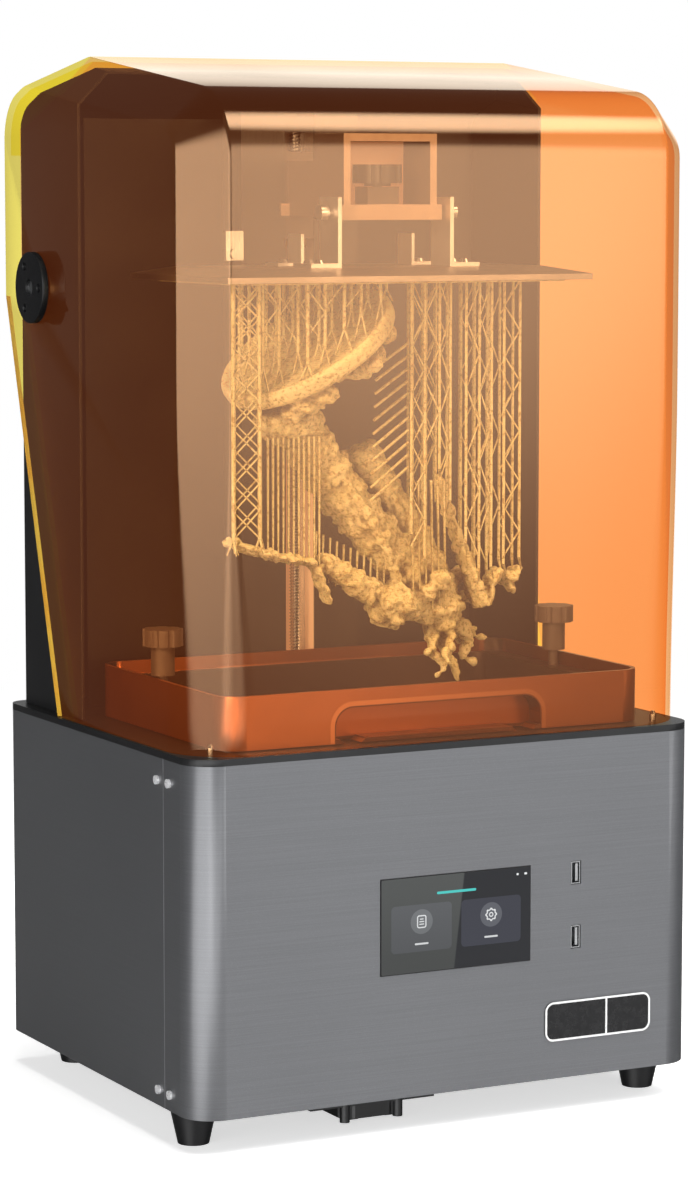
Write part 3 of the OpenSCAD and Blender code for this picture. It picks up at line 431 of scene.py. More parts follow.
def amber_acrylic():
    """Clear amber acrylic. A wall has two surfaces, so each passes the square root of its tint.

    Light falls in almost untinted, and what the camera sees through the wall takes the amber.
    The shine, the haze and the glow are on outward faces only, so that the inner skins of the far
    walls don't add theirs.
    """
    s = Shader("amber_acrylic")
    _, depth, height = s.axes(s.position())
    facing = s.filled("LayerWeight", Blend=0.5)
    seen = s.node("LightPath").outputs["Is Camera Ray"]
    tint = s.mix(facing.outputs["Facing"], (0.995, 0.80, 0.615), (0.985, 0.65, 0.36))
    tint = s.mix(rear_strip(s, depth, height), tint, (1.0, 0.957, 0.42))
    clear = s.tinted("BsdfTransparent", s.mix(seen, (0.99, 0.94, 0.84), tint))
    haze = s.tinted("BsdfGlossy", (1.0, 0.50, 0.20), Roughness=0.09)
    waviness = s.spread(s.noise(9, 2, stretch=(1, 1, 0.3)), 0.03, 0.07)
    sharp = s.tinted("BsdfGlossy", (1, 0.90, 0.74), Roughness=waviness)
    from_middle = s.vector("SUBTRACT", s.position(), (LID_LOW + LID_HIGH) / 2)
    outward = s.math("GREATER_THAN", s.dot(s.normal(), from_middle), 0.0)
    from_behind = s.node("NewGeometry").outputs["Backfacing"]
    outside = s.times(seen, outward, s.minus(1.0, from_behind))
    fresnel = s.filled("Fresnel", IOR=1.49)
    dim_z = LID_LOW.z
    bright_z = dim_z + 0.75 * (LID_HIGH.z - dim_z)
    veil = s.fade(height, dim_z, bright_z, 0.055, 0.13)
    gloss = s.times(fresnel, s.fade(height, dim_z, bright_z, 0.6, 1.0))
    hazy = s.layered(clear, haze, s.times(outside, veil))
    shiny = s.layered(hazy, sharp, s.times(outside, gloss))
    glow = s.tinted("Emission", (1.0, 0.17, 0.03), Strength=s.times(outside, 0.055))
    return s.surface(s.summed(shiny, glow))


def amber_edge():
    """Cut edges of the acrylic, which gather light and glow yellow."""
    s = Shader("amber_edge")
    colour = s.patchy(s.noise(30, 3), (1.0, 0.55, 0.12), (1.0, 0.75, 0.22))
    return s.finish(Base_Color=colour, Roughness=0.25, Emission_Color=colour,
                    Emission_Strength=0.15)


SLOT_MATERIALS = {
    "shell_paint": shell_paint(), "amber_acrylic": amber_acrylic(), "board": board_green(),
    "clear": clear_film(), "led_white": led_white(), "print_resin": print_resin(),
}
for name, *look in (
        ("black_paint", (0.020, 0.020, 0.021), (0.013, 0.013, 0.014), 0.42),
        ("black_plastic", (0.016, 0.016, 0.017), (0.009, 0.009, 0.010), 0.38, 1200, 0.35),
        ("screen_black", (0.006, 0.006, 0.007), (0.004, 0.004, 0.005), 0.08, 60, 0.01, 0.0, 0.5),
        ("mask_dark", (0.010, 0.012, 0.018), (0.006, 0.007, 0.012), 0.12, 80, 0.01, 0.0, 0.6),
        ("rocker_red", (0.22, 0.012, 0.012), (0.16, 0.008, 0.008), 0.3, 900, 0.15)):
    SLOT_MATERIALS[name] = grained(name, *look)
for name, *look in (
        ("steel", (0.72, 0.73, 0.74), (0.5, 0.51, 0.52), 0.25),
        ("aluminium", (0.80, 0.80, 0.80), (0.62, 0.62, 0.63), 0.38),
        ("plate_metal", (0.50, 0.45, 0.40), (0.38, 0.34, 0.30), 0.42, (4, 120, 120)),
        ("brass", (0.75, 0.52, 0.22), (0.58, 0.38, 0.14), 0.3)):
    SLOT_MATERIALS[name] = metal(name, *look)


def dress(obj, mat):
    obj.data.materials.clear()
    obj.data.materials.append(mat)


def modify(obj, kind, **settings):
    """Adds a modifier with its settings."""
    made = obj.modifiers.new(kind.lower(), kind)
    for key, value in settings.items():
        setattr(made, key, value)


def ease_edges(obj, width):
    """Rounds a CAD node's sharp edges a little, so that they catch the light."""
    modify(obj, "WELD", merge_threshold=0.02 * MM)
    modify(obj, "DECIMATE", decimate_type="DISSOLVE", angle_limit=math.radians(0.5))
    modify(obj, "BEVEL", width=width, segments=2, limit_method="ANGLE",
           angle_limit=math.radians(40), harden_normals=True)


def dress_cad_nodes():
    for part in frame["record"]["subparts"]:
        obj, mat = nodes[part["node"]], SLOT_MATERIALS[part["material_slot"]]
        for slot in obj.material_slots:
            slot.material = mat
        if not obj.material_slots:
            obj.data.materials.append(mat)


# CAD nodes whose edges are eased, with the width of the rounding
EASED = {
    "vat_tank": 0.8 * MM, "front_shell": 0.5 * MM, "rear_shell": 0.5 * MM, "top_deck": 0.6 * MM,
    "build_plate": 0.5 * MM, "plate_brackets": 0.4 * MM, "lift_arm": 0.6 * MM,
    "lift_block": 0.6 * MM, "tower_shell": 0.5 * MM, "hinge_covers": 0.8 * MM,
}


# ---------- Mesh helpers ----------

def placed(name, data):
    obj = bpy.data.objects.new(name, data)
    bpy.context.scene.collection.objects.link(obj)
    return obj


def add_mesh(name, verts, faces, body, mat, slot, smooth_angle=35):
    """A finished mesh piece from vertices and faces, riding on a body."""
    mesh = bpy.data.meshes.new(name)
    mesh.from_pydata(verts, [], faces)
    mesh.validate()
    return add_piece(name, mesh, body, mat, slot, smooth_angle)


def add_piece(name, mesh, body, mat, slot, smooth_angle=35):
    soften(mesh, smooth_angle)
    obj = placed(name, mesh)
    dress(obj, mat)
    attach(obj, body)
    return obj


def soften(mesh, angle):
    """Smooth shading, with a sharp edge wherever faces meet at more than angle degrees."""
    bm = bmesh.new()
    bm.from_mesh(mesh)
    bmesh.ops.recalc_face_normals(bm, faces=bm.faces)
    for face in bm.faces:
        face.smooth = True
    for edge in bm.edges:
        edge.smooth = len(edge.link_faces) == 2 and edge.calc_face_angle(0) < math.radians(angle)
    bm.to_mesh(mesh)
    bm.free()


def temp_object(bm, name="temp"):
    mesh = bpy.data.meshes.new(name)
    bm.normal_update()
    bm.to_mesh(mesh)
    bm.free()
    return placed(name, mesh)


def applied(obj):
    """A new mesh with obj's modifiers applied. The object is removed."""
    bpy.context.view_layer.update()
    graph = bpy.context.evaluated_depsgraph_get()
    mesh = bpy.data.meshes.new_from_object(obj.evaluated_get(graph), depsgraph=graph)
    bpy.data.objects.remove(obj)
    return mesh


def walls(low, high, count):
    """Faces between two rings of as many points, from the indices where the rings start."""
    return [(low + k, low + (k + 1) % count, high + (k + 1) % count, high + k)
            for k in range(count)]


def box_object(low, high):
    bm = bmesh.new()
    low, high = Vector(low), Vector(high)
    place = Matrix.Translation((low + high) / 2) @ Matrix.Diagonal((*(high - low), 1))
    bmesh.ops.create_cube(bm, size=1.0, matrix=place)
    return temp_object(bm)


# ---------- Canopy ----------

# The forms reach this far past the canopy's rear before they are cut to shape
PAST_REAR = 60 * MM
HINGE_BORE_R = 8.3 * MM
# How squarely a face looks out of a rim to count as its cut edge
RIM_FACING = 0.97


def roof_side_view(inset, foot_z, far_y, steps=24):
    """Front face, round brow and rising roof as (y, z), moved inward by inset."""
    k = math.hypot(1, ROOF_RISE)
    y0 = LID_LOW.y + inset
    r = BROW_R - inset
    turn = math.pi / 2 - math.atan(ROOF_RISE)

    def top(y):
        return LID_HIGH.z + ROOF_RISE * (y - RIDGE_Y) - inset * k

    cz = top(y0 + r) - r * k
    points = [(y0, foot_z)]
    for i in range(steps + 1):
        a = math.pi - turn * i / steps
        points.append((y0 + r + r * math.cos(a), cz + r * math.sin(a)))
    points.append((far_y, top(far_y)))
    return points


def roof_cross_section(half, leg, crease_r, steps=5):
    """From the middle outward: (x, inset), with the two creases of the facet rounded."""
    t = crease_r * math.tan(math.pi / 8)
    points = []
    for i in range(steps + 1):
        a = math.pi / 4 * i / steps
        points.append((half - leg - t + crease_r * math.sin(a), crease_r * (1 - math.cos(a))))
    for i in range(steps + 1):
        a = math.pi / 4 * (1 + i / steps)
        points.append((half - crease_r * (1 - math.sin(a)), leg + t - crease_r * math.cos(a)))
    return [(-x, inset) for x, inset in reversed(points)] + points


def canopy_form(depth, half, foot_z, crease_r):
    """Closed solid under the canopy's surface moved inward by depth.

    Low down, the two creases of each corner grow into one round corner.
    """
    far_y = LID_HIGH.y + PAST_REAR
    leg = FACET - depth * (2 - math.sqrt(2))
    bm = bmesh.new()
    low_rows, columns, heels = [], [], []
    for i in range(ROUND_ROWS):
        share = i / ROUND_ROWS
        r = crease_r + (ROUND_R - depth - crease_r) * (1 - share * share * (3 - 2 * share))
        z = foot_z if i == 0 else LID_LOW.z + (ROUND_TOP - LID_LOW.z) * share
        low_rows.append((z, roof_cross_section(half, leg, r)))
    for k, (x, inset) in enumerate(roof_cross_section(half, leg, crease_r)):
        path = [(section[k][0], LID_LOW.y + depth + section[k][1], z) for z, section in low_rows]
        path += [(x, y, z) for y, z in roof_side_view(depth + inset, ROUND_TOP, far_y)]
        columns.append([bm.verts.new(place) for place in path])
        heels.append(bm.verts.new((path[0][0], far_y, foot_z)))
    for left, right in zip(columns, columns[1:]):
        for i in range(len(left) - 1):
            bm.faces.new((left[i], right[i], right[i + 1], left[i + 1]))
    bm.faces.new([c[0] for c in columns] + [heels[-1], heels[0]])
    bm.faces.new([c[-1] for c in columns] + [heels[-1], heels[0]])
    bm.faces.new(columns[0] + [heels[0]])
    bm.faces.new(columns[-1] + [heels[-1]])
    bmesh.ops.recalc_face_normals(bm, faces=bm.faces)
    k = math.hypot(1, REAR_FALL)
    centre_y = LID_HIGH.y - NAPE_R
    centre_z = LID_HIGH.z - REAR_FALL * (centre_y - RIDGE_Y) - NAPE_R * k
    steep = math.pi / 2 - math.atan(REAR_FALL)
    steps = 10
    for i in range(steps + 1):
        a = steep * (1 - i / steps)
        out = Vector((0, math.cos(a), math.sin(a)))
        cut_off(bm, Vector((0, centre_y, centre_z)) + out * (NAPE_R - depth), out)
    return bm


def cut_off(bm, point, normal):
    """Cuts a closed convex mesh with a plane and closes it again."""
    geom = bm.verts[:] + bm.edges[:] + bm.faces[:]
    cut = bmesh.ops.bisect_plane(bm, geom=geom, dist=1e-7, plane_co=point, plane_no=normal,
                                 clear_outer=True)
    rim = [g for g in cut["geom_cut"] if isinstance(g, bmesh.types.BMEdge)]
    if rim:
        bmesh.ops.contextual_create(bm, geom=rim)


def canopy():
    """The moulding, cut open below and behind, with a bore for the hinge and bright cut edges."""
    half = LID_HIGH.x
    outer = canopy_form(0, half, LID_LOW.z, CREASE_R)
    along = SLANT_HEAD - SLANT_FOOT
    slant_out = Vector((0, along.z, -along.y)).normalized()
    cut_off(outer, SLANT_FOOT, slant_out)
    shell = temp_object(outer)
    inner = temp_object(
        canopy_form(LID_WALL, half - LID_WALL, LID_LOW.z - 8 * MM, CREASE_R * 0.6))
    nape_z = LID_HIGH.z - REAR_FALL * (LID_HIGH.y - RIDGE_Y) - NAPE_R
    opening = box_object((LID_WALL - half, 0, LID_LOW.z - 9 * MM),
                         (half - LID_WALL, LID_HIGH.y + 9 * MM, nape_z))
    hinge_low, hinge_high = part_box("hinge_covers")
    hinge = (hinge_low + hinge_high) / 2
    bore = bmesh.new()
    bmesh.ops.create_cone(
        bore, cap_ends=True, segments=48, radius1=HINGE_BORE_R, radius2=HINGE_BORE_R,
        depth=2 * half + 20 * MM,
        matrix=Matrix.Translation((0, hinge.y, hinge.z)) @ Matrix.Rotation(math.pi / 2, 4, "Y"))
    cutters = [inner, opening, temp_object(bore)]
    for cutter in cutters:
        modify(shell, "BOOLEAN", operation="DIFFERENCE", solver="EXACT", object=cutter)
    modify(shell, "BEVEL", limit_method="ANGLE", angle_limit=math.radians(32), width=0.5 * MM,
           segments=2)
    mesh = applied(shell)
    for cutter in cutters:
        bpy.data.objects.remove(cutter)
    mesh.materials.clear()
    piece = add_piece("canopy_shell", mesh, "lid", SLOT_MATERIALS["amber_acrylic"],
                      "amber_acrylic", 30)
    mesh.materials.append(amber_edge())
    for face in mesh.polygons:
        centre, normal = face.center, face.normal
        slant_rim = (normal.dot(slant_out) > RIM_FACING
                     and abs((centre - SLANT_FOOT).dot(slant_out)) < 1 * MM)
        rear_rim = (normal.y > RIM_FACING and centre.y > LID_HIGH.y - 1 * MM
                    and abs(centre.x) > half - LID_WALL)
        if slant_rim or rear_rim:
            face.material_index = 1
    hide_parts("canopy")


# ---------- Lead screw ----------

THREAD_DEPTH, THREAD_PITCH, THREAD_STARTS = 0.9 * MM, 2 * MM, 2
THREAD_SIDES, THREAD_ROWS = 20, 5


def lead_screw():
    """Two-start thread as a grid round the axis, whose radius follows the helix."""
    low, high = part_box("lead_screw")
    centre = (low + high) / 2
    radius = (high.x - low.x) / 2
    rows = int((high.z - low.z) / THREAD_PITCH * THREAD_ROWS)
    verts, faces = [], []
    for row in range(rows + 1):
        z = low.z + (high.z - low.z) * row / rows
        for i in range(THREAD_SIDES):
            turn = i / THREAD_SIDES
            phase = ((z - low.z) / THREAD_PITCH - turn * THREAD_STARTS) % 1.0
            r = radius - THREAD_DEPTH * min(1.0, 2.6 * abs(phase - 0.5))
            a = math.tau * turn
            verts.append((centre.x + r * math.cos(a), centre.y + r * math.sin(a), z))
    for row in range(rows):
        faces += walls(row * THREAD_SIDES, (row + 1) * THREAD_SIDES, THREAD_SIDES)
    faces += [range(start, start + THREAD_SIDES) for start in (0, rows * THREAD_SIDES)]
    piece = add_mesh("lead_screw_thread", verts, faces, "drive_screw", SLOT_MATERIALS["steel"],
                     "steel", 50)
    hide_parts("lead_screw")


# ---------- Touch screen ----------

def plate_mesh(outline, hole, back, front):
    """Vertices and faces of a plate that faces the front, from an (x, z) outline.

    The hole is an outline of as many points, or empty.
    """
    n = len(outline)
    flat = outline + hole
    count = len(flat)
    verts = [(x, y, z) for y in (back, front) for x, z in flat]
    faces = []
    for start in range(0, count, n):
        faces += walls(start, count + start, n)
    for start in (0, count):
        faces += walls(start, start + n, n) if hole else [range(start, start + n)]
    return verts, faces


def rounded_outline(cx, cz, w, h, r, steps=6):
    points = []
    for qx, qz, start in ((1, 1, 0), (-1, 1, 90), (-1, -1, 180), (1, -1, 270)):
        for i in range(steps + 1):
            a = math.radians(start + 90 * i / steps)
            points.append((cx + qx * (w / 2 - r) + r * math.cos(a),
                           cz + qz * (h / 2 - r) + r * math.sin(a)))
    return points


def screen_glow(name, colour, unreflected_tone=None):
    """Lit part of the display, with a painted reflection left of a slanting line; unreflected_tone
    is its tone right of the line.
    """
    s = Shader("screen_" + name)
    low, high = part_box("screen_glass")
    middle = (low + high) / 2
    x, _, z = s.axes(s.position())
    slanted = s.minus(x, s.times(s.minus(z, middle.z), 0.12))
    dimmed = tuple(c * 0.72 for c in colour)
    tone = s.mix(s.fade(z, low.z, high.z), dimmed, colour)
    if unreflected_tone is not None:
        # Painted reflection: left of a slanting line the screen keeps the brighter given colour;
        # right of it, the unreflected tone.
        tone = s.mix(s.past(slanted, middle.x + 1.2 * MM, 1.2 * MM), tone, unreflected_tone)
    tone = s.mix(s.spread(s.noise(4000, 1), 0.0, 0.06), tone, (0, 0, 0))
    return s.finish(
        Base_Color=(0.01, 0.01, 0.01), Roughness=0.12, Specular_IOR_Level=0.15,
        Emission_Color=tone, Emission_Strength=1.0)


# Each layer of the display lies this far in front of the one below, and is a bit thinner
SCREEN_STEP, SCREEN_SHEET = 0.05 * MM, 0.04 * MM
# The two tiles: their middles' shares of the screen's width, and their icons' share of its height
TILES, ICON_V = (0.268, 0.732), 0.47


def touch_screen():
    """A generic start page: two tiles with an icon and a bar each, a bar on top and two dots."""
    low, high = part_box("screen_glass")
    w, h = high.x - low.x, high.z - low.z
    skins = {
        "back": screen_glow("back", (0.085, 0.090, 0.088), (0.022, 0.023, 0.027)),
        "tile": screen_glow("tile", (0.115, 0.120, 0.128), (0.048, 0.050, 0.066)),
        "disc": screen_glow("disc", (0.19, 0.20, 0.21), (0.115, 0.12, 0.14)),
        "mark": screen_glow("mark", (0.85, 0.87, 0.88)),
        "teal": screen_glow("teal", (0.08, 0.62, 0.58)),
    }

    def at(u, v):
        return low.x + u * w, high.z - v * h

    def pill(place, width, height, r, steps=6):
        return rounded_outline(*place, width * MM, height * MM, r * MM, steps)

    def sheet(name, skin, level, outline, hole=()):
        y = low.y - level * SCREEN_STEP
        verts, faces = plate_mesh(outline, list(hole), y + SCREEN_SHEET, y)
        add_mesh(name, verts, faces, "printer", skins[skin], "screen_black", 40)

    sheet("display_panel", "back", 1,
          rounded_outline(*at(0.5, 0.5), w - 0.8 * MM, h - 0.8 * MM, 0.6 * MM))
    for name, u in zip(("left", "right"), TILES):
        sheet(f"tile_{name}", "tile", 2,
              rounded_outline(*at(u, 0.535), 0.40 * w, 0.49 * h, 2.5 * MM))
        sheet(f"icon_disc_{name}", "disc", 3, pill(at(u, ICON_V), 14.5, 14.5, 7.2, 12))
        sheet(f"caption_{name}", "mark", 3, pill(at(u, 0.70), 9, 1.1, 0.5))
    x, z = page = at(TILES[0], ICON_V)
    sheet("page_icon", "mark", 4, pill(page, 6.2, 7.6, 1.4), pill(page, 4.8, 6.2, 0.7))
    for i, length in enumerate((2.4, 3.2, 3.2)):
        sheet(f"page_line_{i}", "mark", 4, pill((x, z + (1.5 - 1.5 * i) * MM), length, 0.6, 0.25))
    gear = at(TILES[1], ICON_V)
    sheet("gear_icon", "mark", 4, gear_outline(*gear, 4.0 * MM, 3.3 * MM),
          gear_outline(*gear, 2.9 * MM, 2.5 * MM))
    sheet("gear_hub", "mark", 4, pill(gear, 3.0, 3.0, 1.5, 8), pill(gear, 1.6, 1.6, 0.8, 8))
    sheet("home_bar", "teal", 2, pill(at(0.5, 0.19), 26, 1.5, 0.7))
    for i, size in enumerate((1.9, 1.5)):
        sheet(f"status_dot_{i}", "mark", 2, pill(at(0.965 - 0.055 * i, 0.075), size, 1.3, 0.6))


def gear_outline(cx, cz, r_out, r_in, teeth=8, steps=6):
    """Soft-edged gear: the radius swings between the two as it goes round."""
    points = []
    for i in range(teeth * steps):
        a = math.tau * i / (teeth * steps)
        swing = 0.5 + 0.5 * math.tanh(2.2 * math.cos(teeth * a))
        r = r_in + (r_out - r_in) * swing
        points.append((cx + r * math.cos(a), cz + r * math.sin(a)))
    return points


# ---------- Sample print ----------

PRINT_SEED = 7
PLATE_LOW, PLATE_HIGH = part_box("build_plate")
PRINT_MID_Y = (PLATE_LOW.y + PLATE_HIGH.y) / 2
# The print's rows lean sideways by this much for each step towards the back
ROW_LEAN = 0.517
# The tilted round base, called the dish: its place and radius in millimetres, and its axis
DISH_AT = (-35, 42)
DISH_R = 57
DISH_UP = Vector((-0.55, -0.09, 0.83)).normalized()
# Where the supports start, a little inside the plate's raft
SUPPORT_TOP = PLATE_LOW.z + 0.4 * MM


def hung(across, drop, back=0.0):
    """A point of the print, in millimetres: from the plate's middle, below its face and behind
    its middle row."""
    middle = Vector((0, PRINT_MID_Y, PLATE_LOW.z))
    return Vector((across + ROW_LEAN * back, back, -drop)) * MM + middle


def at_height(point, z):
    return Vector((point.x, point.y, z))


def circle(count):
    """Points of the unit circle."""
    return [(math.cos(a), math.sin(a)) for a in (math.tau * k / count for k in range(count))]


def curve(steps, *places):
    """Catmull-Rom curve through points of the print, given as hung() takes them."""
    points = [hung(*place) for place in places]
    out = []
    padded = [points[0]] + points + [points[-1]]
    for a, b, c, d in zip(padded, padded[1:], padded[2:], padded[3:]):
        for i in range(steps):
            t = i / steps
            out.append(0.5 * (2 * b + (c - a) * t + (2 * a - 5 * b + 4 * c - d) * t * t
                              + (3 * b - a - 3 * c + d) * t ** 3))
    out.append(points[-1])
    return out


def bridge(bm, rings):
    """Faces between rings of points. A ring may be a single point."""
    count = max(len(ring) for ring in rings)
    for low, high in zip(rings, rings[1:]):
        for k in range(count):
            corners = [ring[i % len(ring)] for ring, i in ((low, k), (low, (k + 1) % count),
                                                           (high, (k + 1) % count), (high, k))]
            bm.faces.new(list(dict.fromkeys(corners)))


def add_tube(bm, path, radius_at, sides=12, flat=1.0):
    """Closed tube along a path, of radius radius_at(share of the length), times flat in depth."""
    rings = []
    for i, point in enumerate(path):
        ahead = path[min(i + 1, len(path) - 1)] - path[max(i - 1, 0)]
        side = ahead.cross(Vector((0, 1, 0))).normalized()
        depth = side.cross(ahead).normalized()
        r = radius_at(i / (len(path) - 1))
        rings.append([bm.verts.new(point + side * (r * u) + depth * (r * flat * v))
                      for u, v in circle(sides)])
    bridge(bm, rings)
    bm.faces.new(list(reversed(rings[0])))
    bm.faces.new(rings[-1])


def add_blob(bm, centre, radius, stretch=(1, 1, 1)):
    matrix = Matrix.Translation(centre) @ Matrix.Diagonal((*[radius * s for s in stretch], 1))
    bmesh.ops.create_icosphere(bm, subdivisions=3, radius=1.0, matrix=matrix)


def knotted(start, end, rings, depth):
    """Radius of a limb that tapers from start to end in knotted rings, in metres."""
    def radius(t):
        base = start + (end - start) * t
        return (base * (1 + depth * (abs(math.sin(math.pi * rings * t)) - 0.5))) * MM
    return radius


def dish_place():
    """Matrix from the dish's own frame, its middle at the origin and its face up, to the scene."""
    return Matrix.Translation(hung(*DISH_AT)) @ DISH_UP.to_track_quat("Z", "Y").to_matrix().to_4x4()


def dish(bm):
    """Tilted round base with a raised lip, turned from its (radius, height) profile."""
    place = dish_place()
    sides = 64
    rings = []
    for r, h in ((0, -8), (30, -9), (44, -8), (51, -5), (54.5, -4.5), (56.5, -2), (57, 4),
                 (55.5, 6.5), (53, 6), (50, 2), (0, 2)):
        around = circle(sides) if r else [(0, 0)]
        rings.append([bm.verts.new(place @ (Vector((r * u, r * v, h)) * MM)) for u, v in around])
    bridge(bm, rings)


def trunk_and_roots(bm, rng):
    """The bent trunk, its roots and the broken branches round it."""
    trunk = curve(9, (-44, 84), (-30, 106), (-10, 132), (10, 154), (30, 176), (46, 194), (58, 212))
    add_tube(bm, trunk, knotted(15, 12, 11, 0.22), 16)
    second = curve(9, (-4, 104, 16), (16, 134, 14), (34, 162, 8), (48, 186, 2), (56, 206))
    add_tube(bm, second, knotted(13, 15, 7, 0.16), 16)
    for point in curve(7, (-16, 112, -12), (2, 138, -14), (16, 160, -14), (26, 182, -12)):
        add_blob(bm, point, 3.4 * MM)
    for _ in range(46):
        a, r = rng.uniform(0, math.tau), DISH_R * math.sqrt(rng.uniform(0.1, 0.72))
        deep = rng.uniform(-15, -9) - 6 * (1 - r / DISH_R)
        add_blob(bm, dish_place() @ (Vector((r * math.cos(a), r * math.sin(a), deep)) * MM),
                 rng.uniform(5, 9) * MM, (1.2, 1.0, 0.8))
    add_blob(bm, hung(-50, 84, -6), 17 * MM, (1.2, 1.0, 0.7))
    low_branch = curve(8, (-28, 166, -16), (-14, 174, -16), (2, 184, -15), (20, 194, -14),
                       (44, 200, -4), (58, 208))
    add_tube(bm, low_branch, knotted(6, 10, 8, 0.3))
    burl = hung(20, 195, -14)
    add_blob(bm, burl, 12 * MM)
    for _ in range(34):
        a, b = rng.uniform(0, math.tau), rng.uniform(-1, 1)
        around = Vector((math.cos(a) * math.sqrt(1 - b * b), math.sin(a) * math.sqrt(1 - b * b), b))
        add_blob(bm, burl + around * (10.5 * MM), rng.uniform(3.4, 6) * MM)
    for _ in range(26):
        spot = hung(46 + rng.gauss(0, 11), 184 + rng.gauss(0, 10), rng.gauss(0, 8))
        add_blob(bm, spot, rng.uniform(3.5, 7) * MM)
    for across, drop, back, bend, thick in (
            (52, 240, -18, -7, 4.2), (60, 232, -26, 3, 3.4), (66, 246, -8, -3, 4.6),
            (79, 236, 2, 8, 4.4), (86, 222, 6, 6, 3.6), (44, 226, -14, -6, 3.4),
            (73, 226, 12, 5, 3.2)):
        root = curve(7, (58 + 0.3 * bend, 206, -2),
                     (0.55 * 58 + 0.45 * across + bend, 0.5 * 208 + 0.5 * drop, back * 0.5),
                     (0.2 * 58 + 0.8 * across - 0.6 * bend, 0.2 * 208 + 0.8 * drop, back * 0.9),
                     (across, drop, back))
        add_tube(bm, root, knotted(thick, 1.2, 6, 0.2), 10)


# Points, steps between them, radius at the start and how much it grows, and depth per width
LEAVES = (
    (((-86, 152, -20), (-72, 158, -20), (-52, 163, -19), (-34, 168, -17), (-26, 182, -18),
      (-22, 192, -18)), 8, 3.2, -1.6, 4.0),
    (((51, 118, -6), (61, 145, -8), (72, 172, -10), (83, 200, -12)), 9, 1.8, 2.6, 2.6),
    (((84, 199, -12), (88, 186, -10), (94, 180, -7), (100, 184, -5), (105, 183, -2),
      (108, 178, 0)), 7, 3.4, -0.8, 2.6),
    (((60, 200, 4), (72, 196, 8), (82, 200, 4)), 7, 4.6, -2.4, 1.6),
    (((56, 190, 6), (68, 180, 12), (78, 170, 16)), 7, 4.6, -2.4, 1.6),
    (((100, 184, -5), (103, 189, -6), (104, 193, -6)), 7, 4.6, -2.4, 1.6),
)


def leaves(bm):
    """Thin curved sheets."""
    for places, steps, start, growth, flat in LEAVES:
        add_tube(bm, curve(steps, *places), lambda t: (start + growth * t) * MM, 10, flat)


def roughen(mesh, coarse, fine):
    """Pushes each point along its normal by two sizes of noise. The dish stays nearly smooth."""
    normals = [v.normal.copy() for v in mesh.vertices]
    to_dish = dish_place().inverted()
    for vert, normal in zip(mesh.vertices, normals):
        big = noise.noise(vert.co / (7 * MM))
        small = noise.noise(vert.co / (2.6 * MM) + Vector((9, 4, 1)))
        local = to_dish @ vert.co
        on_dish = -7 * MM < local.z < 9 * MM and local.xy.length < (DISH_R + 3) * MM
        push = coarse * (abs(big) * 2 - 0.5) + fine * small
        vert.co += normal * (push * (0.12 if on_dish else 1))


def knotted_wood():
    """All the solid forms melted into one skin by a voxel remesh, then roughened like bark."""
    bm = bmesh.new()
    dish(bm)
    trunk_and_roots(bm, random.Random(PRINT_SEED))
    leaves(bm)
    bmesh.ops.recalc_face_normals(bm, faces=bm.faces)
    rough = temp_object(bm)
    modify(rough, "REMESH", mode="VOXEL", voxel_size=1.1 * MM)
    modify(rough, "SMOOTH", iterations=2)
    mesh = applied(rough)
    roughen(mesh, 1.9 * MM, 0.9 * MM)
    return mesh


class Rods:
    """Many thin straight rods gathered into one mesh."""

    def __init__(self):
        self.verts, self.faces = [], []

    def add(self, a, b, r_start, r_end=None, sides=6):
        turn = (b - a).to_track_quat("Z", "Y")
        first = len(self.verts)
        for centre, r in ((a, r_start), (b, r_start if r_end is None else r_end)):
            self.verts += [centre + turn @ Vector((r * u, r * v, 0)) for u, v in circle(sides)]
        self.faces += walls(first, first + sides, sides)
        self.faces += [range(start, start + sides) for start in (first, first + sides)]


def dish_top(point):
    """Height of the dish's upper face under a point, or None past its edge."""
    centre = hung(*DISH_AT)
    flat = Vector((point.x - centre.x, point.y - centre.y, 0))
    rise = -(DISH_UP.x * flat.x + DISH_UP.y * flat.y) / DISH_UP.z
    reach = Vector((flat.x, flat.y, rise)).length
    if reach > (DISH_R - 1) * MM:
        return None
    lip = 4.5 if reach > 51 * MM else 2
    return centre.z + rise + lip * MM


def branch_out(rods, foot, spread, drop, count, rng):
    """Small twigs from a support's lower end to the print."""
    for k in range(count):
        a = math.tau * (k + rng.random() * 0.4) / count
        end = foot + Vector((spread * math.cos(a), spread * math.sin(a), -drop))
        rods.add(foot, end, 0.85 * MM, 0.35 * MM)


def braces(rods, a, b, low, pitch, rng, crossed=False):
    """Diagonals between two upright supports."""
    z = SUPPORT_TOP - pitch * 0.6 * rng.random()
    flip = rng.random() < 0.5
    while z - pitch > low:
        for way in ((True, False) if crossed else (flip,)):
            z0, z1 = (z, z - pitch) if way else (z - pitch, z)
            rods.add(at_height(a, z0), at_height(b, z1), 0.55 * MM, sides=5)
        z -= pitch
        flip = not flip


def dish_supports(rods, rng):
    """Uprights on a loose grid over the dish, each ending in twigs, some tied by braces."""
    earlier = None
    for row in range(-2, 3):
        for column in range(-5, 6):
            across = DISH_AT[0] + column * 11.5 + rng.uniform(-2, 2) + (row % 2) * 5
            point = hung(across, 0, row * 20 + rng.uniform(-2, 2))
            surface = dish_top(point)
            if surface is None or across < -86 or surface > SUPPORT_TOP - 4 * MM:
                continue
            length = SUPPORT_TOP - surface
            foot = at_height(point, surface + min(0.5 * length, rng.uniform(9, 17) * MM))
            rods.add(at_height(point, SUPPORT_TOP), foot, 1.15 * MM)
            branch_out(rods, foot, rng.uniform(4, 6.5) * MM, foot.z - surface + 0.6 * MM, 4, rng)
            if (earlier is not None and (earlier - point).length < 16 * MM
                    and length > 26 * MM):
                braces(rods, earlier, point, foot.z, rng.uniform(11, 17) * MM, rng)
            earlier = point


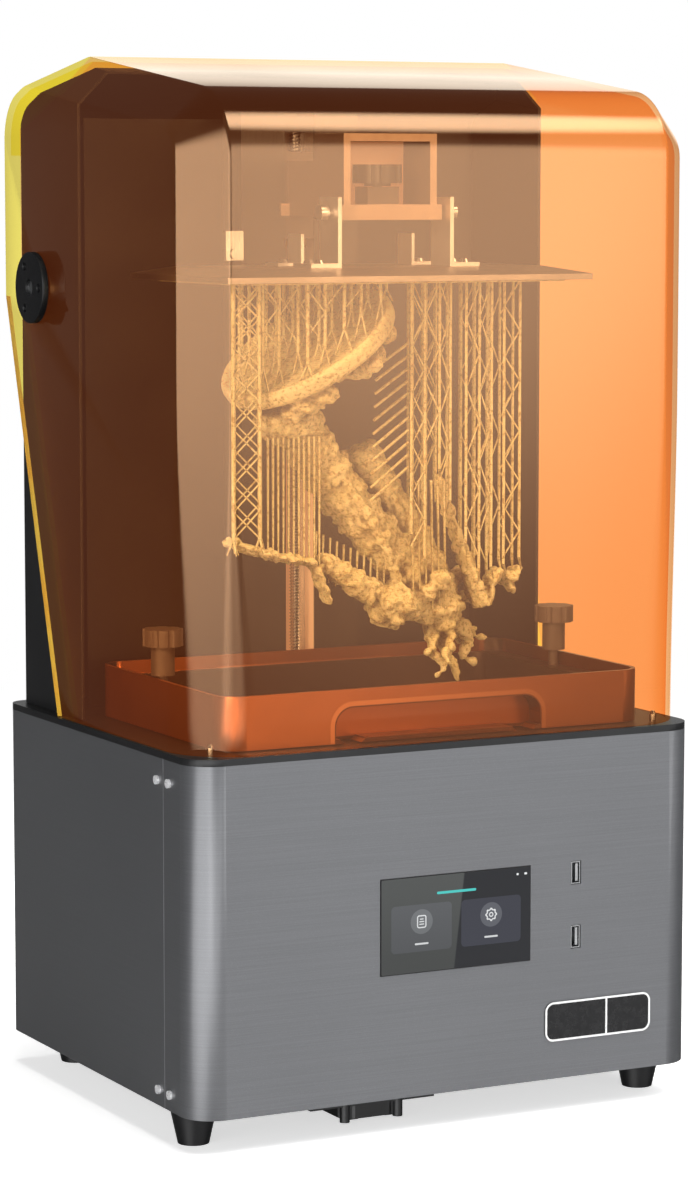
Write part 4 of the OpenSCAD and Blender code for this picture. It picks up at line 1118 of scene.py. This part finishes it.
# Where the supports at the right land: across and drop, joined by straight lines
LANDING = ((20, 118), (30, 150), (38, 172), (48, 180), (52, 120), (62, 146), (72, 170), (84, 192),
           (90, 180), (100, 182), (112, 176))


def landing_drop(across):
    for (u0, d0), (u1, d1) in zip(LANDING, LANDING[1:]):
        if u0 <= across <= u1:
            drop = d0 + (d1 - d0) * (across - u0) / (u1 - u0)
    return drop


def right_supports(rods, rng):
    """Long uprights over the blade and the ridge at the right, in rows from front to back."""
    for back in (-30, -8, 16):
        earlier = None
        across = 31 + rng.uniform(0, 6)
        while across < 111:
            drop = landing_drop(across) - (6 if back > 10 else 0)
            head = hung(across, 0, back)
            if head.x > 107 * MM:
                break
            foot = hung(across, drop - 9, back)
            head.z = SUPPORT_TOP
            end = hung(across + rng.uniform(-3, 3), drop, back * 0.55)
            rods.add(head, foot, 1.05 * MM)
            rods.add(foot, end, 1.0 * MM, 0.4 * MM)
            if earlier is not None and rng.random() < 0.7:
                braces(rods, earlier, head, foot.z, rng.uniform(14, 22) * MM, rng)
            earlier = head
            across += rng.uniform(6.5, 11.0)


def left_lattice(rods, rng):
    """Crossed lattice towers at the left edge that carry the long leaf."""
    low = hung(0, 150).z
    for back in (-32, -18):
        posts = [hung(-84, 0, back), hung(-67, 0, back)]
        for post in posts:
            rods.add(at_height(post, SUPPORT_TOP), at_height(post, low), 1.3 * MM)
        braces(rods, *posts, low, 16 * MM, rng, True)
        for post in posts:
            branch_out(rods, at_height(post, low), 4 * MM, 9 * MM, 3, rng)


def lower_combs(rods, rng):
    """Short close uprights between the dish or the trunk and the forms below them."""
    for i in range(11):
        across = -62 + i * 3.4
        rods.add(hung(across, 92, -18), hung(across, 160 + i * 0.9, -19), 0.95 * MM, 0.6 * MM)
    for i in range(13):
        across = -30 + i * 4.6
        rods.add(hung(across, 150 + i * 2.2, -4), hung(across - 1, 176 + i * 2.2, -12),
                 0.8 * MM, 0.45 * MM)
    for i in range(11):
        rods.add(hung(10 - i * 0.4, 52 + i * 8.0, -16), hung(32, 38 + i * 7.4, -20), 0.95 * MM)
    for i in range(6):
        across = 34 + i * 4.4
        rods.add(hung(across, 120, -30), hung(across + 2, 196 + rng.uniform(-8, 6), -14),
                 0.95 * MM, 0.5 * MM)


def sample_print():
    look = ("platform", SLOT_MATERIALS["print_resin"], "print_resin")
    body = add_piece("print_body", knotted_wood(), *look, 60)
    rng = random.Random(PRINT_SEED + 1)
    rods = Rods()
    for build in (dish_supports, right_supports, left_lattice, lower_combs):
        build(rods, rng)
    frames = add_mesh("print_supports", rods.verts, rods.faces, *look, 70)
    low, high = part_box("sample_print")
    base = box_object((low.x, low.y, PLATE_LOW.z - 1.2 * MM), (high.x, high.y, PLATE_LOW.z))
    modify(base, "BEVEL", width=0.5 * MM)
    for piece in (body, frames, add_piece("print_raft", applied(base), *look)):
        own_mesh(piece)
    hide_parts("sample_print")


# ---------- Studio ----------

CAMERA_AT = Vector((-1.0332, -1.9968, 0.5505))
CAMERA_YAW = math.radians(27.339)
CAMERA_DROP = math.radians(6.443)
CAMERA_LENS = 111.4


def toward(yaw, rise):
    """Unit vector: yaw turns from +Y towards +X and rise is above the horizon, both in degrees."""
    yaw, rise = math.radians(yaw), math.radians(rise)
    return Vector((math.sin(yaw) * math.cos(rise), math.cos(yaw) * math.cos(rise), math.sin(rise)))


def camera():
    data = bpy.data.cameras.new("camera")
    data.lens = CAMERA_LENS
    data.sensor_width = 36
    data.clip_end = 50
    obj = placed("camera", data)
    obj.location = CAMERA_AT
    obj.rotation_euler = (math.pi / 2 - CAMERA_DROP, 0, -CAMERA_YAW)
    bpy.context.scene.camera = obj


def floor():
    """Pale floor. Further out only its own light shows, and reflections don't see it."""
    bm = bmesh.new()
    bmesh.ops.create_grid(bm, x_segments=1, y_segments=1, size=30)
    obj = temp_object(bm, "floor")
    s = Shader("floor_white")
    rays = s.node("LightPath").outputs
    white = (1, 1, 1)
    tone = s.patchy(s.noise(3, 3), (0.93, 0.93, 0.93), (0.95, 0.95, 0.95))
    away = s.vector("LENGTH", s.position()).outputs["Value"]
    far = s.fade(away, 0.5, 1.8)
    paint = s.tinted("BsdfDiffuse", s.mix(far, tone, (0, 0, 0)))
    lift = s.times(rays["Is Camera Ray"], s.fade(far, 0.0, 1.0, 0.62, 1.0))
    both = s.summed(paint, s.tinted("Emission", white, Strength=lift))
    unseen = s.layered(both, s.tinted("BsdfTransparent", white), rays["Is Glossy Ray"])
    dress(obj, s.surface(unseen))


# Soft light from each direction: yaw, rise, brightness, and the cosines where it starts and where
# it is full
SOFTBOXES = (
    (-126, -4, 2.6, 0.72, 0.93),
    (-165, -4, 1.7, 0.90, 0.985),
    (152.7, 6, 1.7, 0.961, 0.9945),
    (152.7, -14, 0.54, 0.70, 0.98),
    (133, 50, 5.4, 0.95, 0.999),
    (27, -4, 1.0, 0.90, 0.97),
)
AMBIENT = 0.07
# What the two lamps that shine into the canopy reach
LIT_INSIDE = (
    "print_body", "print_supports", "print_raft", "build_plate", "plate_brackets", "plate_screws",
    "pivot_rod", "lift_arm", "lift_block", "lift_nut", "clamp_knob", "z_column", "guide_rails",
    "vat_tank", "vat_knob_left", "vat_knob_right", "film_frame", "screw_coupler", "top_bearing")


def studio():
    """White to the camera. Everything else sees a dim room with broad soft lights."""
    s = Shader("studio", world=True)
    way = s.node("TexCoord").outputs["Generated"]
    total = AMBIENT
    for yaw, rise, strength, start, full in SOFTBOXES:
        total = s.plus(total, s.fade(s.dot(way, toward(yaw, rise)), start, full, 0.0, strength))
    white = (1, 1, 1)
    bpy.context.scene.world = s.surface(s.layered(
        s.tinted("Background", white, Strength=total), s.tinted("Background", white),
        s.node("LightPath").outputs["Is Camera Ray"]))
    panel_light("top", (0.3, -0.5, 2.4), 0.2, 2.0, 70).visible_glossy = False
    inside = bpy.data.collections.new("inside")
    for name in LIT_INSIDE:
        inside.objects.link(bpy.data.objects.get(name) or nodes[name])
    for key in (panel_light("inside_left", (-1.5, -0.8, 1.0), 0.4, 0.3, 19),
                panel_light("inside_front", (0.5, -1.5, 0.9), 0.4, 0.4, 5)):
        key.light_linking.receiver_collection = inside


def panel_light(name, at, target_z, size, watts):
    """Round soft lamp aimed at a point of the z axis."""
    data = bpy.data.lights.new(name, "AREA")
    data.shape = "DISK"
    data.size = size
    data.energy = watts
    obj = placed(name, data)
    obj.location = at
    aim = obj.location - Vector((0, 0, target_z))
    obj.rotation_euler = aim.to_track_quat("Z", "Y").to_euler()
    return obj


dress_cad_nodes()
knob_grey = grained("knob_grey", (0.11, 0.085, 0.075), (0.085, 0.065, 0.055), 0.4)
for name, mat in {
    "badge_plate": badge_finish(), "vat_tank": vat_finish(), "z_column": column_finish(),
    "lift_arm": arm_finish(), "vat_knob_left": knob_grey, "vat_knob_right": knob_grey,
    "side_screws": grained("screw_zinc", (0.95, 0.95, 0.97), (0.85, 0.85, 0.87), 0.3,
                           900, 0.1, 0.3),
    "lift_block": grained("block_paint", (0.08, 0.062, 0.05), (0.06, 0.046, 0.038), 0.45),
}.items():
    dress(nodes[name], mat)
for name, width in EASED.items():
    ease_edges(nodes[name], width)
canopy()
lead_screw()
sample_print()
touch_screen()
floor()
studio()
camera()
bpy.context.scene.view_settings.view_transform = "Standard"
bpy.context.scene.cycles.transparent_max_bounces = 16
